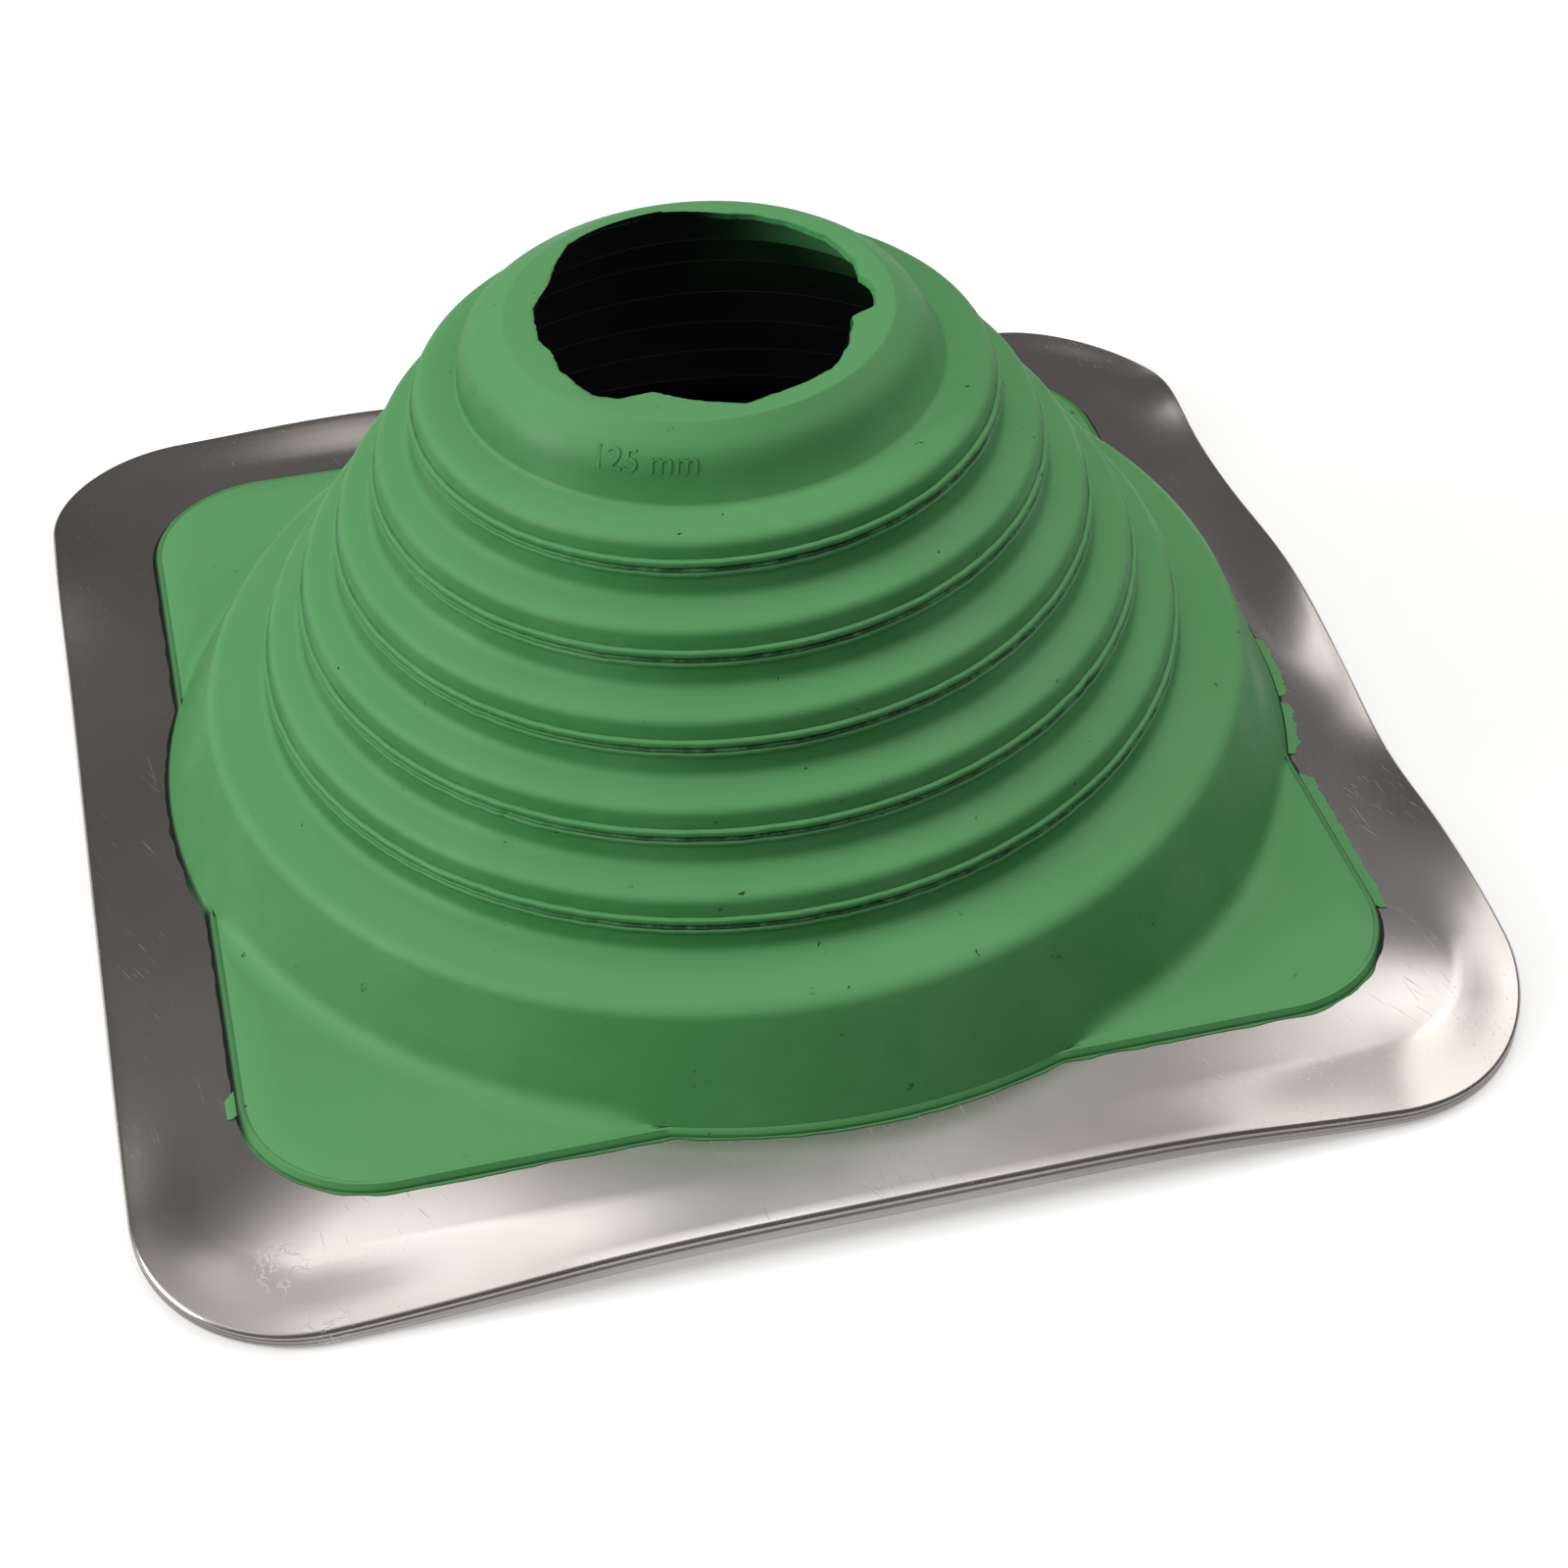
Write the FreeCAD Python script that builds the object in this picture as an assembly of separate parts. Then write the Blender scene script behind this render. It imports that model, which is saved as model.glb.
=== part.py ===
# Pipe flashing boot: a stepped rubber boot moulded onto a soft square aluminium sheet.
# Origin: under the middle of the sheet, at the lowest point of its turned-down edge. +Z is up.
# The viewer stands at -Y. All lengths are in millimetres and all angles in degrees.
import FreeCAD
import Part
import math
import os

V = FreeCAD.Vector

# The boot stands a little off the middle of the sheet and leans a little
BOOT_X = 1.4
BOOT_Y = 2.4
LEAN_LEFT = 2.2
LEAN_FRONT = 0.56

# Stepped cone, heights above the top of the sheet
SKIRT_FOOT_R = 159.7
SKIRT_TAPER = 16.2
SKIRT_TOP_R = SKIRT_FOOT_R - SKIRT_TAPER
SKIRT_TOP_Z = 31.5
SKIRT_SHOULDER_R = 6.0
STEPS = 5
STEP_TOP_R = 75.2
STEP_TOP_Z = 123.0
STEP_PITCH_R = 12.25
STEP_PITCH_Z = 18.2
RISER_H = 15.0
RISER_RUN = 2.7
SHOULDER_R = 5.0
ROUND_CHORDS = 1
NECK_FOOT_R = 63.6
NECK_FOOT_Z = 123.9
NECK_BULGE = 3.5
LIP_R = 50.4
LIP_Z = 140.6
LIP_ROUND_R = 1.6
LIP_RISE = 0.8

# Trim rib on each riser: a thin ridge that guides the knife
RIB_DROP = 6.0
RIB_W = 1.0
RIB_H = 0.8

# Sheet: it holds the skirt's foot, passes under it and bends freely outside the rubber
SHEET_T = 1.0
SHEET_LAP = 9.4
SHEET_HOLE_R = SKIRT_FOOT_R - SHEET_LAP
SHEET_PAST_SKIRT = 22.3
HALF = SKIRT_FOOT_R + SHEET_PAST_SKIRT
SHEET_CORNER_R = 43.0
SHEET_WORN_CORNER_R = 51.0
HEM_DEPTH = 7.0
HEM_BULGE = 1.2
HEM_WAIST = 0.3
HEM_WAIST_SHARE = 0.5
HEM_BEAD_SHARE = 0.78
HEM_CORNER_SHARE = 0.62
HEM_CORNER_REACH = 0.7
BEND_CLEARANCE = 0.7
FREE_MARGIN = SHEET_PAST_SKIRT - max(BOOT_X, BOOT_Y) - HEM_BULGE - BEND_CLEARANCE
STATIONS_PER_SIDE = 12
STATIONS_PER_CORNER = 7

# Rubber: wall, layers over and under the sheet, and the square flange
WALL_T = 2.6
LIP_T = 1.8
FLANGE_X = -0.8
FLANGE_INSET = 30.5
FLANGE_SIDE = 2 * (HALF - FLANGE_INSET)
FLANGE_CORNER_R = 36.0
FLANGE_OVER_T = 2.5
FLANGE_UNDER_T = 2.5
FLANGE_BEVEL = 1.5
SLOT_CLEARANCE = 0.02
KEY_CLEARANCE = 0.3
CORE_R = SHEET_HOLE_R - KEY_CLEARANCE
RIM_W = 4.0
RIM_TOP_Z = 5.0

# Hand-cut hole in the lip: bearing and distance of the knife's turns from the boot's axis
CUT_TURNS = [(-176, 42.0), (-167, 40.9), (-154, 43.4), (-138, 44.9), (-130, 43.9), (-120, 39.0),
             (-104, 41.7), (-88, 45.1), (-70, 44.6), (-56, 45.2), (-43, 42.8), (-33, 40.8),
             (-25, 39.8), (-17, 45.2), (-7, 45.2), (1, 42.9), (13, 44.8), (30, 45.0), (45, 44.8),
             (57, 44.8), (70, 44.2), (79, 45.6), (92, 47.6), (108, 48.4), (124, 47.0),
             (135, 43.6), (146, 41.0), (164, 42.2)]

# Waves of the sheet's edge: where on the outline, half width, and height above flat
SHEET_WAVES = [(HALF, 22.0, 42.0, 6.7), (HALF, -54.0, 26.0, -3.4), (HALF, 128.0, 18.0, 4.2),
               (167.0, 167.0, 34.0, -4.0), (-84.0, HALF, 52.0, 3.7), (-HALF, 118.0, 32.0, 4.0),
               (-154.0, -154.0, 32.0, -8.0), (-118.0, -HALF, 44.0, -4.5), (118.0, -HALF, 34.0, -3.6),
               (156.0, -158.0, 32.0, -8.9)]


def outline_place(quarter, share, inset):
    """Point and outward direction on one quarter of the sheet's outline, anticlockwise from +X.

    The share runs from 0 at the middle of a side to 1 at the start of the corner's arc, on to 2 at
    its end, and to 3 at the middle of the next side. The last quarter holds the worn corner.
    """
    half = HALF - inset
    corner_r = (SHEET_WORN_CORNER_R if quarter == 3 else SHEET_CORNER_R) - inset
    run = half - corner_r
    if share <= 1:
        point, out = V(half, run * share, 0), V(1, 0, 0)
    elif share < 2:
        angle = math.pi / 2 * (share - 1)
        out = V(math.cos(angle), math.sin(angle), 0)
        point = V(run, run, 0) + out * corner_r
    else:
        point, out = V(run * (3 - share), half, 0), V(0, 1, 0)
    turn = FreeCAD.Rotation(V(0, 0, 1), 90 * quarter)
    return turn.multVec(point), turn.multVec(out)


def rounded_square(side, corner_r, z):
    """Closed wire of four straight runs and four corner arcs."""
    half = side / 2
    run = half - corner_r
    mid = run + corner_r * math.cos(math.pi / 4)
    edges = []
    for k in range(4):
        turn = FreeCAD.Rotation(V(0, 0, 1), 90 * k)
        pts = [V(half, -run, z), V(half, run, z), V(mid, mid, z), V(run, half, z)]
        a, b, c, d = [turn.multVec(p) for p in pts]
        edges += [Part.LineSegment(a, b).toShape(), Part.Arc(b, c, d).toShape()]
    return Part.Wire(edges)


def rounded(points, radii):
    """Polyline in the XZ plane with its corners rounded by a few short chords each."""
    path = [points[0]]
    for i in range(1, len(points) - 1):
        before, corner, after = points[i - 1], points[i], points[i + 1]
        if radii[i] == 0:
            path.append(corner)
            continue
        u, v = (before - corner), (after - corner)
        half_angle = u.getAngle(v) / 2
        reach = min(radii[i] / math.tan(half_angle), 0.45 * u.Length, 0.45 * v.Length)
        radius = reach * math.tan(half_angle)
        way = (u.normalize() + v.normalize()).normalize()
        centre = corner + way * (radius / math.sin(half_angle))
        first = corner + u * reach - centre
        last = corner + v * reach - centre
        sweep = first.getAngle(last)
        for n in range(ROUND_CHORDS + 1):
            share = n / ROUND_CHORDS
            arm = first * math.sin((1 - share) * sweep) + last * math.sin(share * sweep)
            path.append(centre + arm * (1 / math.sin(sweep)))
    return path + [points[-1]]


def revolve(points):
    """Solid of revolution about Z under a run of points that starts on the axis."""
    corners = points + [V(0, 0, points[-1].z), points[0]]
    face = Part.Face(Part.makePolygon(corners))
    return face.revolve(V(0, 0, 0), V(0, 0, 1), 360)


def step_corner(k):
    """Shoulder corner of step k (0 is the top one) and the foot of the riser under it."""
    shoulder = V(STEP_TOP_R + k * STEP_PITCH_R, 0, STEP_TOP_Z - k * STEP_PITCH_Z)
    return shoulder, shoulder + V(RISER_RUN, 0, -RISER_H)


def rib_points(shoulder, foot):
    """Crest and under edge of the thin ridge on the riser below a shoulder."""
    down = (foot - shoulder).normalize()
    out = V(-down.z, 0, down.x)
    return [shoulder + down * RIB_DROP + out * RIB_H, shoulder + down * (RIB_DROP + RIB_W)]


def neck_bulge():
    """Middle of the neck's wall, which bellies out a little between the lip and its foot."""
    lip, foot = V(LIP_R, 0, LIP_Z), V(NECK_FOOT_R, 0, NECK_FOOT_Z)
    down = (foot - lip).normalize()
    return (lip + foot) * 0.5 + V(-down.z, 0, down.x) * NECK_BULGE


def skirt_at(drop):
    """Point of the skirt's outer line at a share of the way down to its foot."""
    return V(SKIRT_TOP_R, 0, SKIRT_TOP_Z) * (1 - drop) + V(SKIRT_FOOT_R, 0, 0) * drop


def cone_outside():
    """Leaning solid from the lip to the rounded shoulder of the skirt, and its last point."""
    points = [V(0, 0, LIP_Z + LIP_RISE), V(LIP_R, 0, LIP_Z), neck_bulge(),
              V(NECK_FOOT_R, 0, NECK_FOOT_Z)]
    radii = [0, LIP_ROUND_R, 0, 0]
    for k in range(STEPS):
        shoulder, foot = step_corner(k)
        ribs = rib_points(shoulder, foot)
        points += [shoulder] + ribs + [foot]
        radii += [SHOULDER_R] + [0] * (len(ribs) + 1)
    points += [skirt_at(0), skirt_at(1)]
    radii += [SKIRT_SHOULDER_R, 0]
    path = rounded(points, radii)[:-1]
    return revolve(path), path[-1]


def skirt(ring, foot_r, foot_z):
    """Skewed frustum from a leaning ring down to a level circle over the sheet."""
    top = lean(Part.Wire(Part.makeCircle(ring.x, V(0, 0, ring.z))))
    foot = Part.Wire(Part.makeCircle(foot_r, V(BOOT_X, BOOT_Y, foot_z)))
    return Part.makeLoft([top, foot], True, True)


def wall_offset(points, thickness):
    """Corner points of a polyline moved inwards by the wall's thickness, for lines in XZ."""
    moved = []
    for i in range(1, len(points) - 1):
        a = (points[i] - points[i - 1]).normalize()
        b = (points[i + 1] - points[i]).normalize()
        way = V(a.z + b.z, 0, -a.x - b.x).normalize()
        reach = thickness / way.dot(V(a.z, 0, -a.x))
        moved.append(points[i] + way * reach)
    return moved


def cone_inside():
    """Hollow under that solid: it follows the steps a wall's thickness in. Also its last point."""
    outer = [V(0, 0, LIP_Z + LIP_RISE), V(LIP_R, 0, LIP_Z), neck_bulge(),
             V(NECK_FOOT_R, 0, NECK_FOOT_Z)]
    for k in range(STEPS):
        outer += list(step_corner(k))
    outer += [skirt_at(0), skirt_at(1)]
    inner = wall_offset(outer, WALL_T)
    lip_under = V(0, 0, LIP_Z + LIP_RISE - LIP_T)
    points = [lip_under, V(inner[0].x, 0, LIP_Z - LIP_T)] + inner[1:]
    return revolve(points), points[-1]


def lean(shape):
    """Leans a shape built about Z and sets it over the boot's place on the sheet."""
    shape.rotate(V(0, 0, 0), V(0, 1, 0), -LEAN_LEFT)
    shape.rotate(V(0, 0, 0), V(1, 0, 0), LEAN_FRONT)
    shape.translate(V(BOOT_X, BOOT_Y, 0))
    return shape


def cut_hole():
    """Prism of the hand-cut hole, through the lip only: one straight cut from turn to turn."""
    turns = [V(r * math.cos(math.radians(a)), r * math.sin(math.radians(a)), 0) for a, r in CUT_TURNS]
    prism = Part.Face(Part.makePolygon(turns + turns[:1])).extrude(V(0, 0, 3 * LIP_T))
    prism.translate(V(0, 0, LIP_Z - 2 * LIP_T))
    return prism


def flange_plate(bottom, top):
    """Square flange united with the disc under the cone, each with a bevel round its top edge."""
    body_top = top - FLANGE_BEVEL
    levels = [(0, bottom), (0, body_top), (-FLANGE_BEVEL, top)]
    squares = [rounded_square(FLANGE_SIDE + 2 * grow, FLANGE_CORNER_R + grow, z) for grow, z in levels]
    discs = [Part.Wire(Part.makeCircle(SKIRT_FOOT_R + grow, V(0, 0, z))) for grow, z in levels]
    layers = []
    for (foot, edge, crown), x in ((squares, FLANGE_X), (discs, BOOT_X)):
        for layer in (Part.Face(foot).extrude(V(0, 0, body_top - bottom)),
                      Part.makeLoft([edge, crown], True, True)):
            layer.translate(V(x, BOOT_Y, 0))
            layers.append(layer)
    return layers[0].fuse(layers[1:])


def rubber_boot():
    """The one rubber moulding: flange over and under the sheet, skirt, steps and lip."""
    under = -SHEET_T - FLANGE_UNDER_T
    cone, ring = cone_outside()
    flange = flange_plate(under, FLANGE_OVER_T)
    outside = lean(cone).fuse([skirt(ring, SKIRT_FOOT_R, 0), flange])
    slot = Part.makeBox(4 * HALF, 4 * HALF, SHEET_T + 2 * SLOT_CLEARANCE,
                        V(-2 * HALF, -2 * HALF, -SHEET_T - SLOT_CLEARANCE))
    core = Part.makeCylinder(CORE_R, 3 * SHEET_T, V(0, 0, -2 * SHEET_T))
    upper, ring = cone_inside()
    rise = skirt_at(0) - skirt_at(1)
    foot_r = SKIRT_FOOT_R + rise.x * RIM_TOP_Z / rise.z - WALL_T / math.sin(V(1, 0, 0).getAngle(rise))
    rim = Part.makeCylinder(CORE_R - RIM_W, RIM_TOP_Z - 2 * under, V(BOOT_X, BOOT_Y, 2 * under))
    hollow = lean(upper).fuse([skirt(ring, foot_r, RIM_TOP_Z), rim])
    body = outside.cut(slot.cut(core)).cut(hollow).cut(lean(cut_hole()))
    return body.removeSplitter().Solids[0]


def edge_height(place):
    """How far the sheet's edge stands above or below flat at a place on its outline."""
    height = 0.0
    for x, y, width, rise in SHEET_WAVES:
        away = (V(x, y, 0) - place).Length
        height += rise * math.exp(-(away / width) ** 2)
    return height


def hem_depth(share):
    """The turned-down edge is narrower round the corners, where the soft metal gathered."""
    return HEM_DEPTH * (1 - (1 - HEM_CORNER_SHARE) * math.exp(-((share - 1.5) / HEM_CORNER_REACH) ** 2))


def bend_place(quarter, share):
    """Point of the line along which the free margin starts to bend away from flat."""
    edge, out = outline_place(quarter, share, HEM_BULGE)
    return edge - out * FREE_MARGIN


def margin_section(quarter, share):
    """Closed section of the sheet's margin at one station: the bending part and the hem."""
    edge, out = outline_place(quarter, share, HEM_BULGE)
    bend = bend_place(quarter, share)
    rise = edge_height(edge)
    deep = hem_depth(share)

    def local(u, z):
        return edge + out * u + V(0, 0, rise + z)

    line = [(HEM_BULGE, -SHEET_T), (HEM_WAIST, -HEM_WAIST_SHARE * deep), (HEM_BULGE, -HEM_BEAD_SHARE * deep)]
    outer = [local(u, z) for u, z in line]
    inside = [local(u - SHEET_T, z) for u, z in line[:0:-1]]
    corner = local(-SHEET_T / 2, -SHEET_T)
    return Part.makePolygon([bend, local(0, 0)] + outer + [local(0, -deep)] + inside
                            + [corner, bend - V(0, 0, SHEET_T), bend])


def aluminium_sheet():
    """Soft square sheet: flat land round a round hole, wavy free margin and turned-down edge."""
    half_side = STATIONS_PER_SIDE // 2
    shares = [n / half_side for n in range(half_side)]
    shares += [1 + n / STATIONS_PER_CORNER for n in range(STATIONS_PER_CORNER)]
    shares += [2 + n / half_side for n in range(half_side)]
    stations = [(quarter, share) for quarter in range(4) for share in shares]
    bends = [bend_place(*station) for station in stations]
    land = Part.Face(Part.makePolygon(bends + bends[:1])).extrude(V(0, 0, -SHEET_T))
    hole = Part.makeCylinder(SHEET_HOLE_R, 3 * SHEET_T, V(0, 0, -2 * SHEET_T))
    margin = Part.makeLoft([margin_section(*station) for station in stations], True, True, True)
    return land.cut(hole).fuse(margin).removeSplitter().Solids[0]


def build():
    """Both pieces, set down so that the lowest point of the sheet's edge is at height 0."""
    pieces = {"rubber_boot": rubber_boot(), "aluminium_sheet": aluminium_sheet()}
    lowest = min(piece.optimalBoundingBox(False, False).ZMin for piece in pieces.values())
    for piece in pieces.values():
        piece.translate(V(0, 0, -lowest))
    return pieces


os.makedirs("parts", exist_ok=True)
for name, piece in build().items():
    piece.exportStep("parts/" + name + ".step")
    box = piece.optimalBoundingBox(False, False)
    print(name, piece.ShapeType, "valid", piece.isValid(), "solids", len(piece.Solids), "faces",
          len(piece.Faces), "volume cm3", round(piece.Volume / 1000, 2), "z", round(box.ZMin, 3),
          round(box.ZMax, 3), "x", round(box.XMin, 2), round(box.XMax, 2), "y", round(box.YMin, 2),
          round(box.YMax, 2))
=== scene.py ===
import math

import bmesh
import bpy
from bpy.props import FloatProperty, FloatVectorProperty, IntProperty, PointerProperty, StringProperty
from bpy.types import Operator, Panel, PropertyGroup
from mathutils import Matrix, Vector, noise


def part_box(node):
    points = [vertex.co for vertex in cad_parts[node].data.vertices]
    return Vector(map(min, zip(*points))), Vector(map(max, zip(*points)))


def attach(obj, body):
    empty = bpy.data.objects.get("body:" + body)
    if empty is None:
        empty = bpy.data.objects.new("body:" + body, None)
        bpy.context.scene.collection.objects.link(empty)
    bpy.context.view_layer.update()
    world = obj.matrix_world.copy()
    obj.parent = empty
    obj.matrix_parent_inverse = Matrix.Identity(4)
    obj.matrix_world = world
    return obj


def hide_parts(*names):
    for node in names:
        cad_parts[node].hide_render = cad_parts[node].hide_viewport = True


bl_info = {
    "name": "Roof Pipe Boot Builder",
    "version": (1, 0, 0),
    "blender": (4, 5, 0),
    "location": "View3D > Sidebar > Pipe Boot",
    "description": "Stepped rubber pipe boot on a soft aluminium sheet, with its studio",
    "category": "Object",
}

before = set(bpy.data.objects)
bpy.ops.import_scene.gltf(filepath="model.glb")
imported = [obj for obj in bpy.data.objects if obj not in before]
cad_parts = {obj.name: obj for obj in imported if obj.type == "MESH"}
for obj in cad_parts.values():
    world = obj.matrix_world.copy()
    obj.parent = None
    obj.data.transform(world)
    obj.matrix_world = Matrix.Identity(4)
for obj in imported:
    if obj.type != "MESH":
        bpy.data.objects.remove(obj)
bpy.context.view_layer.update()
BOOT_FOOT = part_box("rubber_boot")[0][2]
SHEET_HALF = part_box("aluminium_sheet")[1][0]

# Sizes here are in millimetres; only a finished vertex and a node's input are turned to metres.
MM = 0.001
SHEET_T = 1.0
RUBBER_UNDER = 2.5
SHEET_TOP = BOOT_FOOT / MM + RUBBER_UNDER + SHEET_T
HALF = SHEET_HALF / MM

# Faces that meet at more than this, in degrees, keep a sharp edge
SHARP_ANGLE = 38.0

# Bearing in degrees and distance from the boot's axis of each turn of the knife in the lip
CUT_TURNS = [(-176, 42.0), (-167, 40.9), (-154, 43.4), (-138, 44.9), (-130, 43.9), (-120, 39.0),
             (-104, 41.7), (-88, 45.1), (-70, 44.6), (-56, 45.2), (-43, 42.8), (-33, 40.8),
             (-25, 39.8), (-17, 45.2), (-7, 45.2), (1, 42.9), (13, 44.8), (30, 45.0), (45, 44.8),
             (57, 44.8), (70, 44.2), (79, 45.6), (92, 47.6), (108, 48.4), (124, 47.0),
             (135, 43.6), (146, 41.0), (164, 42.2)]

# Waves of the sheet's edge: where on the outline, half width, and height above flat
SHEET_WAVES = [(HALF, 22.0, 42.0, 6.7), (HALF, -54.0, 26.0, -3.4), (HALF, 128.0, 18.0, 4.2),
               (167.0, 167.0, 34.0, -4.0), (-84.0, HALF, 52.0, 3.7), (-HALF, 118.0, 32.0, 4.0),
               (-154.0, -154.0, 32.0, -8.0), (-118.0, -HALF, 44.0, -4.5), (118.0, -HALF, 34.0, -3.6),
               (156.0, -158.0, 32.0, -8.9)]

# How far the free margin goes along its eased bend; the turned-down edge has the whole bend
EASE_REACH = 0.999

# The turned-down edge's section: how far it starts inside the edge, and each corner's rounding, in mm
HEM_START = 3.0
HEM_ROUNDS = (0, 0.8, 1.2, 2.5, 1.2, 0.6, 0.6, 2.0, 0.5, 0)

# Where the free margin is divided, as shares of its width from the edge
MARGIN_DIVISIONS = (1.0, 0.8, 0.6, 0.4)

# Torn flash on the sheet outside the flange: first and last bearing in degrees, width, and tear in mm
FLASH_T = 0.5
FLASH = [(-1.5, -11.0, 2.6, 1.0), (-12.0, -20.2, 3.0, 1.2), (-23.2, -38.6, 3.6, 0.8), (-142.6, -144.6, 3.0, 0.3)]

# Groove along the inner side of the flange's bevel: place in from the bevel, and height over the flange
FLANGE_GROOVE = [(0.9, 0.0), (0.2, -0.45), (-0.1, -0.45), (-0.7, -0.15), (-1.2, -0.25)]

# Rings of the flange's edge counted from the first squeezed ring: two by the groove, one on the bevel's crest, one
# low on the bevel, one on the upright edge and three round its foot
GROOVE_RINGS, CREST_RING, BEVEL_RING, EDGE_RING, FOOT_RINGS = (-6, -5), -4, -3, -2, (-1, 0, 1)

# Level way from the boot towards the front, where the flange's rim gets the least painted shade
FRONT = Vector((-0.24, -0.97, 0.0))

# Crumpled places of the sheet: place on it and reach in mm
CRUMPLES = [((-147.0, -165.0, SHEET_TOP - 1), 9.0), ((-139.0, -181.0, SHEET_TOP - 6), 8.0)]


def linear(hex_colour):
    """Linear RGBA of an sRGB hex colour."""
    channels = [int(hex_colour[i:i + 2], 16) / 255 for i in (1, 3, 5)]
    return tuple(c / 12.92 if c <= 0.04045 else ((c + 0.055) / 1.055) ** 2.4 for c in channels) + (1.0,)


def smooth(share):
    """Ease from 0 to 1."""
    share = min(1.0, max(0.0, share))
    return share * share * (3 - 2 * share)


class BootSizes(PropertyGroup):
    """Sizes of the rubber moulding. Heights are above the top of the sheet."""
    place: FloatVectorProperty(name="Place", description="Boot's axis at the sheet, in mm",
                               size=2, default=(1.4, 2.4))
    lean_left: FloatProperty(name="Lean left", description="Lean towards the left", subtype="ANGLE",
                             default=math.radians(2.2))
    lean_front: FloatProperty(name="Lean front", description="Lean towards the viewer", subtype="ANGLE",
                              default=math.radians(0.56))
    wall: FloatProperty(name="Wall", description="Thickness of the rubber wall, in mm", default=2.6)
    lip_wall: FloatProperty(name="Lip wall", description="Thickness of the lip, in mm", default=1.8)
    lip: FloatVectorProperty(name="Lip edge", description="Radius and height, in mm",
                             size=2, default=(50.4, 140.6))
    lip_rise: FloatProperty(name="Lip rise", description="Height of the lip's cone at the axis, in mm",
                            default=0.8)
    neck_foot: FloatVectorProperty(name="Neck foot", description="Radius and height, in mm",
                                   size=2, default=(63.6, 123.9))
    neck_bulge: FloatProperty(name="Neck bulge", description="Belly of the neck's wall, in mm", default=3.5)
    neck_swell: FloatProperty(name="Neck swell", description="Extra belly of the slumped side, in mm",
                              default=2.2)
    swell_bearing: FloatProperty(name="Swell bearing", description="Where the neck swells most", subtype="ANGLE",
                                 default=math.radians(125.0))
    steps: IntProperty(name="Steps", description="Steps of the cone", default=5)
    step_top: FloatVectorProperty(name="Top step", description="Radius and height of the top shoulder, in mm",
                                  size=2, default=(75.2, 123.0))
    step_pitch: FloatVectorProperty(name="Step pitch", description="Growth and drop per step, in mm",
                                    size=2, default=(12.25, 18.2))
    riser: FloatVectorProperty(name="Riser", description="Run and height of a riser, in mm",
                               size=2, default=(2.7, 15.0))
    neck_foot_r: FloatProperty(name="Neck foot radius", description="Rounding under the neck, in mm",
                               default=2.0)
    shoulder_r: FloatProperty(name="Shoulder radius", description="Rounding of a shoulder, in mm",
                              default=4.2)
    foot_r: FloatProperty(name="Foot radius", description="Rounding where a shelf meets a riser, in mm",
                          default=4.6)
    skirt_top: FloatVectorProperty(name="Skirt shoulder", description="Radius and height, in mm",
                                   size=2, default=(143.5, 31.5))
    skirt_shoulder_r: FloatProperty(name="Skirt shoulder radius", description="Rounding, in mm", default=6.5)
    skirt_foot_r: FloatProperty(name="Skirt foot", description="Radius of the base circle, in mm",
                                default=159.7)
    toe_r: FloatProperty(name="Toe", description="Reach of the rounding between skirt and flange, in mm",
                         default=4.5)
    flange_side: FloatProperty(name="Flange side", description="Side of the square flange, in mm",
                               default=303.0)
    flange_shift: FloatProperty(name="Flange shift",
                                description="Its middle, right of the boot's axis, in mm",
                                default=-2.2)
    flange_corner_r: FloatProperty(name="Flange corner", description="Corner radius, in mm", default=36.0)
    flange_t: FloatProperty(name="Flange thickness", description="Rubber over the sheet, in mm", default=2.5)
    flange_bevel: FloatVectorProperty(name="Flange bevel",
                                      description="Width and drop of its sloped edge, in mm",
                                      size=2, default=(2.4, 1.5))
    key_r: FloatProperty(name="Key radius", description="Rubber core inside the sheet's hole, in mm",
                         default=150.0)
    rim_r: FloatProperty(name="Rim radius", description="Opening in the underside, in mm", default=146.0)
    rim_top: FloatProperty(name="Rim top", description="Top of the rim inside the skirt, in mm", default=5.0)
    cut_rag: FloatVectorProperty(name="Cut raggedness",
                                 description="Coarse and fine waviness of the knife's cut, in mm",
                                 size=2, default=(0.35, 0.25))
    lip_sag: FloatProperty(name="Lip sag", description="How far the cut edge hangs at most, in mm",
                           default=0.9)
    squeeze: FloatVectorProperty(name="Squeezed line",
                                 description="Mean width and variation of what is squeezed out at the rim, in mm",
                                 size=2, default=(0.6, 0.6))
    turns: IntProperty(name="Divisions", description="Divisions round the boot", default=540)


class RibSizes(PropertyGroup):
    """Sizes of the pairs of thin trim ribs on the risers, upper rib, painted crease shade line, lower rib."""
    drops: FloatVectorProperty(name="Drops", description="From a shoulder down to each line, in mm",
                               size=3, default=(5.9, 7.7, 8.9))
    bead_r: FloatVectorProperty(name="Beads", description="Radius of each line, in mm",
                                size=3, default=(1.1, 0.55, 0.8))
    proud: FloatVectorProperty(name="Proud", description="Height of each line's middle over the riser, in mm",
                               size=3, default=(0.1, 0.25, 0.1))
    rag: FloatProperty(name="Raggedness", description="Waviness left by the mould and by handling, in mm",
                       default=0.45)


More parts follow.
